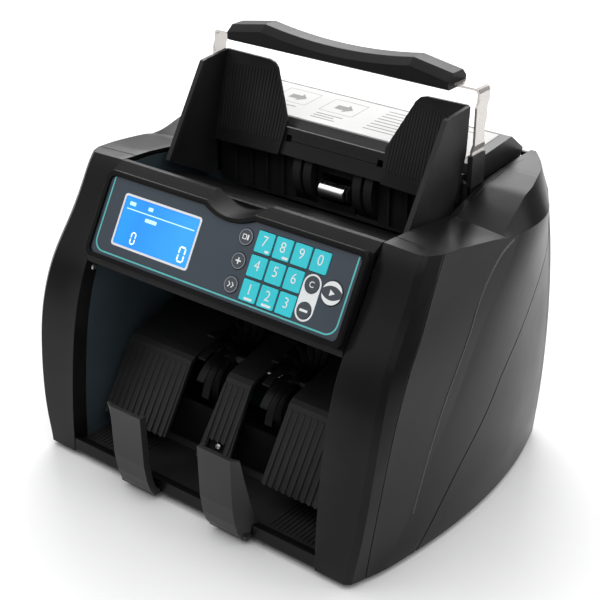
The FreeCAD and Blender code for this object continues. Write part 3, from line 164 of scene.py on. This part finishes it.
# crease bead: lighter, glossier copy of the shell black, a painted highlight along the crease
BEAD_PAINTED_HIGHLIGHT = material("bead_black_painted_highlight", (0.020, 0.020, 0.021), 0.26, grain=0.2, grain_size=0.4, mottle=0.15, rough_var=0.03, spec=0.6)
INK = material("label_ink", (0.13, 0.13, 0.13), 0.5, mottle=0.08)


def tray_material():
    """Same matt black, deepening to near black behind the deflectors where little light gets."""
    m = INNER.copy()
    m.name = "tray_black"
    nt = m.node_tree
    b = nt.nodes["Principled BSDF"]
    tc = nt.nodes.new("ShaderNodeTexCoord")
    sep = nt.nodes.new("ShaderNodeSeparateXYZ")
    nt.links.new(tc.outputs["Object"], sep.inputs[0])
    my = nt.nodes.new("ShaderNodeMapRange")
    my.inputs["From Min"].default_value = -0.086
    my.inputs["From Max"].default_value = -0.082
    nt.links.new(sep.outputs["Y"], my.inputs["Value"])
    mz = nt.nodes.new("ShaderNodeMapRange")
    mz.inputs["From Min"].default_value = 0.0125
    mz.inputs["From Max"].default_value = 0.0150
    nt.links.new(sep.outputs["Z"], mz.inputs["Value"])
    mul = nt.nodes.new("ShaderNodeMath")
    mul.operation = "MULTIPLY"
    nt.links.new(my.outputs["Result"], mul.inputs[0])
    nt.links.new(mz.outputs["Result"], mul.inputs[1])
    for sock, dark in (("Base Color", (0.0012, 0.0012, 0.0013, 1)), ("Roughness", 0.85)):
        src = b.inputs[sock].links[0].from_socket
        mx = nt.nodes.new("ShaderNodeMix")
        if sock == "Base Color":
            mx.data_type = "RGBA"
            mx.inputs[7].default_value = dark
            nt.links.new(src, mx.inputs[6])
            nt.links.new(mul.outputs[0], mx.inputs[0])
            nt.links.new(mx.outputs[2], b.inputs[sock])
        else:
            mx.data_type = "FLOAT"
            mx.inputs[3].default_value = dark
            nt.links.new(src, mx.inputs[2])
            nt.links.new(mul.outputs[0], mx.inputs[0])
            nt.links.new(mx.outputs[0], b.inputs[sock])
    b.inputs["Specular IOR Level"].default_value = 0.2
    return m


TRAY = tray_material()


def lcd_material():
    m = bpy.data.materials.new("display_blue")
    m.use_nodes = True
    nt = m.node_tree
    b = nt.nodes["Principled BSDF"]
    tc = nt.nodes.new("ShaderNodeTexCoord")
    sep = nt.nodes.new("ShaderNodeSeparateXYZ")
    nt.links.new(tc.outputs["Object"], sep.inputs[0])
    mr = nt.nodes.new("ShaderNodeMapRange")
    mr.inputs["From Min"].default_value = -0.084
    mr.inputs["From Max"].default_value = -0.019
    nt.links.new(sep.outputs["X"], mr.inputs["Value"])
    noise = nt.nodes.new("ShaderNodeTexNoise")
    noise.inputs["Scale"].default_value = 22
    nt.links.new(tc.outputs["Object"], noise.inputs["Vector"])
    add = nt.nodes.new("ShaderNodeMath")
    add.operation = "MULTIPLY_ADD"
    nt.links.new(noise.outputs["Fac"], add.inputs[0])
    add.inputs[1].default_value = 0.5
    nt.links.new(mr.outputs["Result"], add.inputs[2])
    cr = nt.nodes.new("ShaderNodeValToRGB")
    cr.color_ramp.elements[0].position = 0.15
    cr.color_ramp.elements[0].color = (0.003, 0.27, 0.80, 1)
    cr.color_ramp.elements[1].position = 1.0
    cr.color_ramp.elements[1].color = (0.020, 0.27, 0.78, 1)
    e = cr.color_ramp.elements.new(0.55)
    e.color = (0.006, 0.21, 0.76, 1)
    nt.links.new(add.outputs[0], cr.inputs["Fac"])
    nt.links.new(cr.outputs["Color"], b.inputs["Base Color"])
    nt.links.new(cr.outputs["Color"], b.inputs["Emission Color"])
    b.inputs["Emission Strength"].default_value = 0.55
    b.inputs["Roughness"].default_value = 0.22
    b.inputs["Specular IOR Level"].default_value = 0.4
    return m


LCD = lcd_material()
SEG = material("display_white", (0.75, 0.86, 0.95), 0.4, mottle=0.02, emission=((0.80, 0.92, 1.0), 0.75))
SEGDIM = material("display_pale", (0.45, 0.72, 0.95), 0.4, mottle=0.02, emission=((0.42, 0.72, 1.0), 0.6))

def strip_painted_shade_material():
    """Bright strip above its sleeve; the part that runs inside the machine gets painted shade, near black."""
    m = STRIP.copy()
    m.name = "strip_steel_painted_shade"
    nt = m.node_tree
    b = nt.nodes["Principled BSDF"]
    tc = nt.nodes.new("ShaderNodeTexCoord")
    sep = nt.nodes.new("ShaderNodeSeparateXYZ")
    nt.links.new(tc.outputs["Object"], sep.inputs[0])
    # painted shade mask: full below z 204 mm, none above 205 mm
    mz = nt.nodes.new("ShaderNodeMapRange")
    mz.inputs["From Min"].default_value = 0.2040
    mz.inputs["From Max"].default_value = 0.2050
    mz.inputs["To Min"].default_value = 1.0
    mz.inputs["To Max"].default_value = 0.0
    nt.links.new(sep.outputs["Z"], mz.inputs["Value"])
    src = b.inputs["Base Color"].links[0].from_socket
    mx = nt.nodes.new("ShaderNodeMix")
    mx.data_type = "RGBA"
    # near-black painted shade colour
    mx.inputs[7].default_value = (0.012, 0.012, 0.012, 1)
    nt.links.new(src, mx.inputs[6])
    nt.links.new(mz.outputs["Result"], mx.inputs[0])
    nt.links.new(mx.outputs[2], b.inputs["Base Color"])
    return m


STRIP_PAINTED_SHADE = strip_painted_shade_material()

LOOK = {
    "base_plate": INNER, "rubber_feet": RUBBER, "front_frame": BLACK, "side_shell_left": SHELL, "side_shell_right": SHELL,
    "rear_shell": SHELL, "side_plate_left": PLATE, "side_plate_right": PLATE, "shaft_bushes": BRASS, "panel_housing": HOUSING,
    "panel_overlay": SLATE, "lcd_window": LCD, "display_board": BOARD, "tray_floor": TRAY, "note_deflector": INNER,
    "note_stops": STOPS_PAINTED_LIGHT, "hopper_floor": FLOORM, "hopper_back_wall": INNER, "handle_sleeves": INNER, "guide_rail": SHAFT,
    "drive_motor": MOTOR, "drive_belts": RUBBER, "main_board": BOARD, "transformer": IRON, "power_inlet": INNER,
    "switch_body": INNER, "lid_hinges": INNER, "rear_lid": LIDM, "lid_label": PAPER, "handle_grip": GRIP,
    "handle_strip_left": STRIP_PAINTED_SHADE, "handle_strip_right": STRIP_PAINTED_SHADE, "hopper_guide_left": GUIDE, "hopper_guide_right": GUIDE,
    "pickup_shaft": SHAFT, "pickup_tyres": TYRE, "pressure_roller": CHROME, "drive_shaft": SHAFT, "transport_rollers": TYRE,
    "drive_pulleys": NYLON, "stacker_shaft": SHAFT, "stacker_wheels": WHEEL, "motor_pulley": NYLON, "rocker": INNER,
}
for i in range(10):
    LOOK["key_%d" % i] = TEAL
for n in ("mode", "add", "speed", "clear", "batch", "restart"):
    LOOK["key_" + n] = KEYDARK
SHELLS = ("side_shell_left", "side_shell_right", "rear_shell", "front_frame")
for n, o in nodes.items():
    o.data.materials.clear()
    o.data.materials.append(LOOK[n])
    me = o.data
    for p in me.polygons:
        p.use_smooth = True
    me.set_sharp_from_angle(angle=math.radians(8.0 if n in SHELLS else 28.0))


# ---------------------------------------------------------------------------
# helpers for printed pieces on the sloped panel: local x, v up the slope, w out
# ---------------------------------------------------------------------------
PANEL_M = Matrix(((1, 0, 0, 0), (0, CA, -SA, (PANEL_Y + SHIFT_Y) * MM), (0, SA, CA, PANEL_Z * MM), (0, 0, 0, 1)))


def link(obj, mat, body, matrix=None):
    bpy.context.scene.collection.objects.link(obj)
    obj.data.materials.clear()
    obj.data.materials.append(mat)
    if matrix is not None:
        obj.data.transform(matrix)
    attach(obj, body)
    return obj


def mesh_from_curve(cu, name):
    tmp = bpy.data.objects.new(name + "_c", cu)
    bpy.context.scene.collection.objects.link(tmp)
    dg = bpy.context.evaluated_depsgraph_get()
    me = bpy.data.meshes.new_from_object(tmp.evaluated_get(dg))
    bpy.data.objects.remove(tmp)
    me.name = name
    return me


def flat(name, loops, w, thick, mat, body, matrix=PANEL_M, bevel=0.0):
    """Thin printed layer from closed loops in (x, v) millimetres; inner loops are holes."""
    cu = bpy.data.curves.new(name, "CURVE")
    cu.dimensions = "2D"
    cu.fill_mode = "BOTH"
    cu.extrude = thick * MM / 2
    for lp in loops:
        s = cu.splines.new("POLY")
        s.points.add(len(lp) - 1)
        for q, (x, v) in zip(s.points, lp):
            q.co = (x * MM, v * MM, 0, 1)
        s.use_cyclic_u = True
    me = mesh_from_curve(cu, name)
    me.transform(Matrix.Translation((0, 0, (w + thick / 2) * MM)))
    return link(bpy.data.objects.new(name, me), mat, body, matrix)


def rrect(x0, x1, v0, v1, r, n=6):
    pts = []
    for cx, cv, a0 in ((x1 - r, v0 + r, -90), (x1 - r, v1 - r, 0), (x0 + r, v1 - r, 90), (x0 + r, v0 + r, 180)):
        for k in range(n + 1):
            a = math.radians(a0 + 90.0 * k / n)
            pts.append((cx + r * math.cos(a), cv + r * math.sin(a)))
    return pts


def circle(cx, cv, r, n=40):
    return [(cx + r * math.cos(2 * math.pi * k / n), cv + r * math.sin(2 * math.pi * k / n)) for k in range(n)]


def bar(x0, v0, x1, v1, w):
    """Thin bar with pointed ends between two points."""
    dx, dv = x1 - x0, v1 - v0
    L = math.hypot(dx, dv)
    ux, uv = dx / L, dv / L
    nx, nv = -uv, ux
    h = w / 2
    return [(x0, v0), (x0 + ux * h + nx * h, v0 + uv * h + nv * h), (x1 - ux * h + nx * h, v1 - uv * h + nv * h), (x1, v1),
            (x1 - ux * h - nx * h, v1 - uv * h - nv * h), (x0 + ux * h - nx * h, v0 + uv * h - nv * h)]


def text(name, body_text, x, v, w, size, mat, body, offset=0.0, sx=1.0, shear=0.0):
    cu = bpy.data.curves.new(name, "FONT")
    cu.body = body_text
    cu.size = size * MM
    cu.align_x = "CENTER"
    cu.align_y = "CENTER"
    cu.extrude = 0.00003
    cu.offset = offset * MM
    cu.resolution_u = 4
    me = mesh_from_curve(cu, name)
    me.transform(Matrix.Diagonal((sx, 1, 1, 1)))
    me.transform(Matrix.Translation((x * MM, v * MM, (w + 0.03) * MM)))
    return link(bpy.data.objects.new(name, me), mat, body, PANEL_M)


# teal line round three sides of the sheet
def u_line(half, bottom, top, r, wd):
    out, inn = [], []
    for side, cx, a0 in ((-1, -half + r, 180), (1, half - r, 270)):
        for k in range(9):
            a = math.radians(a0 + 90.0 * k / 8)
            out.append((cx + r * math.cos(a), bottom + r + r * math.sin(a)))
            inn.append((cx + (r - wd) * math.cos(a), bottom + r + (r - wd) * math.sin(a)))
    return [(-half, top)] + out + [(half, top), (half - wd, top)] + inn[::-1] + [(-half + wd, top)]


flat("panel_line", [u_line(97.6, 1.9, 50.6, 8.0, 1.0)], 0.01, 0.05, TEALLINE, "chassis")
flat("display_frame", [rrect(-84.7, -18.8, 8.7, 43.2, 2.2), rrect(-83.2, -20.2, 10.1, 41.8, 1.3)], 0.01, 0.06, WHITE, "chassis")

# display content: two seven-segment zeros, a rule and plain tags
def zero(name, cx, cv, wd, ht, t, mat):
    x0, x1, v0, v1 = cx - wd / 2, cx + wd / 2, cv - ht / 2, cv + ht / 2
    g = 0.25
    segs = [bar(x0 + g, v0, x1 - g, v0, t), bar(x0 + g, v1, x1 - g, v1, t), bar(x0, v0 + g, x0, cv - g, t), bar(x0, cv + g, x0, v1 - g, t),
            bar(x1, v0 + g, x1, cv - g, t), bar(x1, cv + g, x1, v1 - g, t)]
    flat(name, segs, -0.33, 0.05, mat, "chassis")


zero("display_digit_small", -68.2, 16.6, 3.4, 7.2, 0.9, SEG)
zero("display_digit_large", -26.8, 17.4, 4.6, 9.2, 1.05, SEG)
flat("display_rule", [rrect(-80.5, -22.5, 33.6, 34.3, 0.3)], -0.33, 0.05, SEGDIM, "chassis")
flat("display_tags", [rrect(-79.2, -74.0, 36.4, 38.8, 0.6), rrect(-63.0, -59.0, 36.4, 38.8, 0.6), rrect(-63.0, -53.2, 29.0, 31.4, 0.6)], -0.33, 0.05, SEGDIM, "chassis")

# digits and plain marks on the keys
COLS = [25.2, 39.05, 52.9, 66.75]
ROWS = [34.1, 19.05, 4.1]
KEYS = {"7": (0, 0), "8": (1, 0), "9": (2, 0), "0": (3, 0), "4": (0, 1), "5": (1, 1), "6": (2, 1), "1": (0, 2), "2": (1, 2), "3": (2, 2)}
PROUD = 0.6
for d, (c, r) in KEYS.items():
    cx, cv = COLS[c] + 6.2, ROWS[r] + 7.2
    text("digit_" + d, d, cx, cv, PROUD + 0.005, 9.2, WHITE, "key_" + d, offset=-0.05, sx=0.95)
for d, wd in (("7", 3.0), ("8", 4.2), ("1", 6.2), ("2", 7.0)):
    c, r = KEYS[d]
    cx = COLS[c] + (9.6 if d in "78" else 7.0)
    flat("mark_" + d, [rrect(cx - wd / 2, cx + wd / 2, ROWS[r] + 1.0, ROWS[r] + 2.5, 0.4)], PROUD + 0.005, 0.05, WHITE, "key_" + d)

RING = {"mode": (17.0, 40.7, 5.2), "add": (17.0, 25.7, 5.2), "speed": (17.0, 10.7, 5.2)}
for n, (x, v, r) in RING.items():
    flat("ring_" + n, [circle(x, v, r - 0.35), circle(x, v, r - 0.75)], PROUD + 0.005, 0.05, GREYPRINT, "key_" + n)
# generic symbols: sheets with a corner, plus, double chevron
x, v, r = RING["mode"]
flat("icon_mode", [rrect(x - 2.4, x + 0.6, v - 1.6, v + 1.6, 0.4), rrect(x - 1.9, x + 0.1, v - 1.1, v + 1.1, 0.2)], PROUD + 0.005, 0.05, WHITE, "key_mode")
flat("icon_mode_bar", [rrect(x + 1.2, x + 2.4, v - 1.6, v + 1.6, 0.3)], PROUD + 0.005, 0.05, WHITE, "key_mode")
x, v, r = RING["add"]
flat("icon_add", [[(x - 2, v - .45), (x - .45, v - .45), (x - .45, v - 2), (x + .45, v - 2), (x + .45, v - .45), (x + 2, v - .45), (x + 2, v + .45), (x + .45, v + .45),
                   (x + .45, v + 2), (x - .45, v + 2), (x - .45, v + .45), (x - 2, v + .45)]], PROUD + 0.005, 0.05, WHITE, "key_add")
x, v, r = RING["speed"]
chev = []
for dx in (-2.4, 0.2):
    chev.append([(x + dx, v - 1.7), (x + dx + 0.8, v - 1.7), (x + dx + 2.2, v), (x + dx + 0.8, v + 1.7), (x + dx, v + 1.7), (x + dx + 1.4, v)])
flat("icon_speed", chev, PROUD + 0.005, 0.05, WHITE, "key_speed")

# white field round the two clear keys, and the crescents of the start key
def stadium(cx, v0, v1, r, n=16):
    pts = []
    for k in range(n + 1):
        a = math.pi * k / n
        pts.append((cx + r * math.cos(a), v1 - r + r * math.sin(a)))
    for k in range(n + 1):
        a = math.pi + math.pi * k / n
        pts.append((cx + r * math.cos(a), v0 + r + r * math.sin(a)))
    return pts


flat("clear_field", [stadium(72.3, 4.6, 33.0, 6.35), circle(72.3, 26.6, 5.25), circle(72.3, 11.0, 5.25)], 0.01, 0.05, WHITE, "chassis")
text("letter_clear", "C", 72.3, 26.6, PROUD + 0.005, 5.2, WHITE, "key_clear", offset=0.03)
flat("icon_batch", [rrect(69.4, 75.2, 10.2, 11.7, 0.4)], PROUD + 0.005, 0.05, WHITE, "key_batch")
cx, cv, R = 87.0, 25.8, 7.3


def cap(cx, cv, R, h, sgn, n=22):
    """Segment of a disc above a shallow arc."""
    a0 = math.asin(h / R)
    pts = []
    for k in range(n + 1):
        a = a0 + (math.pi - 2 * a0) * k / n
        pts.append((cx + R * math.cos(a), cv + sgn * R * math.sin(a)))
    x1 = R * math.cos(a0)
    for k in range(1, n):
        t = -1 + 2.0 * k / n
        pts.append((cx + x1 * t, cv + sgn * (h + 2.6 * (1 - t * t))))
    return pts


flat("start_caps", [cap(cx, cv, R - 0.35, 1.6, 1), cap(cx, cv, R - 0.35, 1.6, -1)], PROUD + 0.005, 0.05, WHITE, "key_restart")
flat("icon_start", [[(cx - 1.4, cv - 1.9), (cx + 2.2, cv), (cx - 1.4, cv + 1.9)]], PROUD + 0.005, 0.05, WHITE, "key_restart")

# ---------------------------------------------------------------------------
# lid label: plain generic marks
# ---------------------------------------------------------------------------
LA = math.atan2(3.9, 49.8)
LID_M = Matrix.Translation((0, (164.2 + SHIFT_Y) * MM, 212.7 * MM)) @ Matrix.Rotation(LA, 4, "X")
marks = []
for cx in (-62, -22):
    marks.append(rrect(cx - 14, cx + 14, 20, 41, 1.0))
    marks.append(rrect(cx - 13.6, cx + 13.6, 20.4, 40.6, 0.8))
for cx in (-62, -22):
    for k, wdt in enumerate((22, 17, 20)):
        marks.append(rrect(cx - 12, cx - 12 + wdt, 14.5 - 3.4 * k, 15.6 - 3.4 * k, 0.3))
for k, wdt in enumerate((66, 60, 68, 52, 64, 58, 66, 40)):
    marks.append(rrect(8, 8 + wdt, 41.0 - 4.4 * k, 42.0 - 4.4 * k, 0.3))
flat("label_marks", marks, 0.27, 0.03, INK, "lid", LID_M)
arrows = []
for cx in (-62, -22):
    arrows.append([(cx - 6, 27), (cx + 2, 27), (cx + 2, 24), (cx + 8, 30), (cx + 2, 36), (cx + 2, 33), (cx - 6, 33)])
flat("label_arrows", arrows, 0.27, 0.03, INK, "lid", LID_M)

# ---------------------------------------------------------------------------
# small fixings on the steel side plates in the pocket
# ---------------------------------------------------------------------------
def pan_screw(name, pos, axis, r, body, mat):
    """Cross-recess pan head, its axis pointing out of the surface."""
    bm = bmesh.new()
    prof = [(0.0, 0.55), (0.45, 0.54), (0.75, 0.44), (0.93, 0.26), (1.0, 0.04), (1.0, 0.0)]
    n = 28
    rings = []
    for pr, ph in prof[1:]:
        rings.append([bm.verts.new((r * pr * math.cos(2 * math.pi * k / n), r * pr * math.sin(2 * math.pi * k / n), r * ph)) for k in range(n)])
    for a, b_ in zip(rings, rings[1:]):
        for k in range(n):
            bm.faces.new((a[k], b_[k], b_[(k + 1) % n], a[(k + 1) % n]))
    bm.faces.new(rings[0])
    bm.faces.new(rings[-1][::-1])
    # cross recess as a sunk star
    cross_pts = [(0.12, 0.42), (0.12, 0.12), (0.42, 0.12), (0.42, -0.12), (0.12, -0.12), (0.12, -0.42), (-0.12, -0.42), (-0.12, -0.12), (-0.42, -0.12), (-0.42, 0.12), (-0.12, 0.12), (-0.12, 0.42)]
    top = [bm.verts.new((r * a, r * b_, r * 0.555)) for a, b_ in cross_pts]
    low = [bm.verts.new((r * a * 0.8, r * b_ * 0.8, r * 0.25)) for a, b_ in cross_pts]
    for k in range(12):
        bm.faces.new((top[k], top[(k + 1) % 12], low[(k + 1) % 12], low[k]))
    bm.faces.new(low)
    bmesh.ops.recalc_face_normals(bm, faces=bm.faces)
    for f in bm.faces:
        f.smooth = True
    me = bpy.data.meshes.new(name)
    bm.to_mesh(me)
    bm.free()
    me.set_sharp_from_angle(angle=math.radians(35))
    q = Vector((0, 0, 1)).rotation_difference(Vector(axis)).to_matrix().to_4x4()
    M = Matrix.Translation(Vector((pos[0], pos[1] + SHIFT_Y, pos[2])) * MM) @ q @ Matrix.Diagonal((MM, MM, MM, 1))
    return link(bpy.data.objects.new(name, me), mat, body, M)


pan_screw("plate_screw_a", (-104.2, 30.5, 133.0), (1, 0, 0), 2.4, "chassis", MOTOR)
pan_screw("plate_screw_b", (104.2, 30.5, 133.0), (-1, 0, 0), 2.4, "chassis", MOTOR)
for k, (x, z) in enumerate(((-118, 30), (118, 30), (-108, 150), (108, 150))):
    pan_screw("back_screw_%d" % k, (x * 0.93, 229.5, z), (0, 1, 0), 2.6, "chassis", IRON)

pan_screw("sensor_screw", (0.5, 31.4, 34.0), (0, -0.839, 0.544), 2.1, "chassis", MOTOR)

# fine raised line along the crease of each side shell, laid on the shell's surface
CREASE = [(138.3, 184.9), (125.7, 180.0), (113.0, 170.4), (101.0, 157.5), (90.3, 139.1), (73.5, 111.7), (63.1, 89.8), (55.7, 68.3), (47.7, 35.6)]


def crease_bead(name, side):
    node = nodes["side_shell_right" if side > 0 else "side_shell_left"]
    rear = nodes["rear_shell"]
    pts = []
    n = len(CREASE)
    for i in range(n - 1):
        p0, p1, p2, p3 = (CREASE[max(0, min(n - 1, i + k))] for k in (-1, 0, 1, 2))
        for k in range(6):
            t = k / 6.0
            q = []
            for c in (0, 1):
                q.append(0.5 * (2 * p1[c] + (p2[c] - p0[c]) * t + (2 * p0[c] - 5 * p1[c] + 4 * p2[c] - p3[c]) * t * t + (3 * p1[c] - p0[c] - 3 * p2[c] + p3[c]) * t ** 3))
            pts.append(q)
    pts.append(CREASE[-1])
    cu = bpy.data.curves.new(name, "CURVE")
    cu.dimensions = "3D"
    cu.bevel_depth = 0.85 * MM
    cu.bevel_resolution = 3
    cu.use_fill_caps = True
    found = []
    for y, z in pts:
        o = Vector((side * 0.2, (y + SHIFT_Y) * MM, z * MM))
        for nd in (node, rear):
            ok, loc, nor, idx = nd.ray_cast(nd.matrix_world.inverted() @ o, Vector((-side, 0, 0)))
            if ok and abs(loc.x) > 0.12:
                found.append(loc - nor * 0.00042)
                break
    s_ = cu.splines.new("POLY")
    s_.points.add(len(found) - 1)
    for q, l in zip(s_.points, found):
        q.co = (l.x, l.y, l.z, 1)
    me_ = mesh_from_curve(cu, name)
    for pl in me_.polygons:
        pl.use_smooth = True
    # the bead's lighter black is a painted highlight along the crease
    return link(bpy.data.objects.new(name, me_), BEAD_PAINTED_HIGHLIGHT, "chassis")


crease_bead("crease_line_right", 1)
crease_bead("crease_line_left", -1)

# ---------------------------------------------------------------------------
# floor, light, camera
# ---------------------------------------------------------------------------
me = bpy.data.meshes.new("floor")
S = 9.0
me.from_pydata([(-S, -S, 0), (S, -S, 0), (S, S, 0), (-S, S, 0)], [], [(0, 1, 2, 3)])
floor = bpy.data.objects.new("floor", me)
bpy.context.scene.collection.objects.link(floor)
floor.location.z = -0.0002
FL = material("floor_white", (0.86, 0.86, 0.865), 0.55, mottle=0.004, rough_var=0.02, spec=0.25)
floor.data.materials.append(FL)

world = bpy.data.worlds.new("studio")
bpy.context.scene.world = world
world.use_nodes = True
bg = world.node_tree.nodes["Background"]
bg.inputs["Color"].default_value = (1.0, 1.0, 1.0, 1)
bg.inputs["Strength"].default_value = 0.22


def area(name, loc, target, size, size_y, power, color=(1, 1, 1)):
    li = bpy.data.lights.new(name, "AREA")
    li.shape = "RECTANGLE"
    li.size, li.size_y = size, size_y
    li.energy = power
    li.color = color
    ob = bpy.data.objects.new(name, li)
    bpy.context.scene.collection.objects.link(ob)
    ob.location = loc
    d = Vector(target) - Vector(loc)
    ob.rotation_euler = d.to_track_quat("-Z", "Y").to_euler()
    return ob


area("ceiling", (0.0, 0.4, 3.2), (0, 0.4, 0), 8.0, 8.0, 300)
area("back_soft", (-0.95, 1.15, 1.02), (0, 0, 0.18), 1.3, 0.85, 17)
area("right_rear", (1.55, 0.75, 0.55), (0.1, 0, 0.12), 0.5, 0.9, 3.8)
area("left_front", (-1.3, -1.5, 1.1), (0, 0, 0.12), 0.9, 0.9, 2.4)

cam_d = bpy.data.cameras.new("camera")
cam = bpy.data.objects.new("camera", cam_d)
bpy.context.scene.collection.objects.link(cam)
az, el = math.radians(38.208), math.radians(27.348)
R = Vector((math.cos(az), math.sin(az), 0))
F = Vector((-math.sin(az) * math.cos(el), math.cos(az) * math.cos(el), -math.sin(el)))
U = R.cross(F)
rot = Matrix((R, U, -F)).transposed()
cam.matrix_world = Matrix.Translation(Vector((488.79, -502.96 + SHIFT_Y, 514.62)) * MM) @ rot.to_4x4()
cam_d.sensor_width = 36.0
cam_d.lens = 79.483
cam_d.clip_end = 50
bpy.context.scene.camera = cam

sc = bpy.context.scene
sc.view_settings.view_transform = "Standard"
sc.view_settings.look = "None"

bpy.context.view_layer.update()
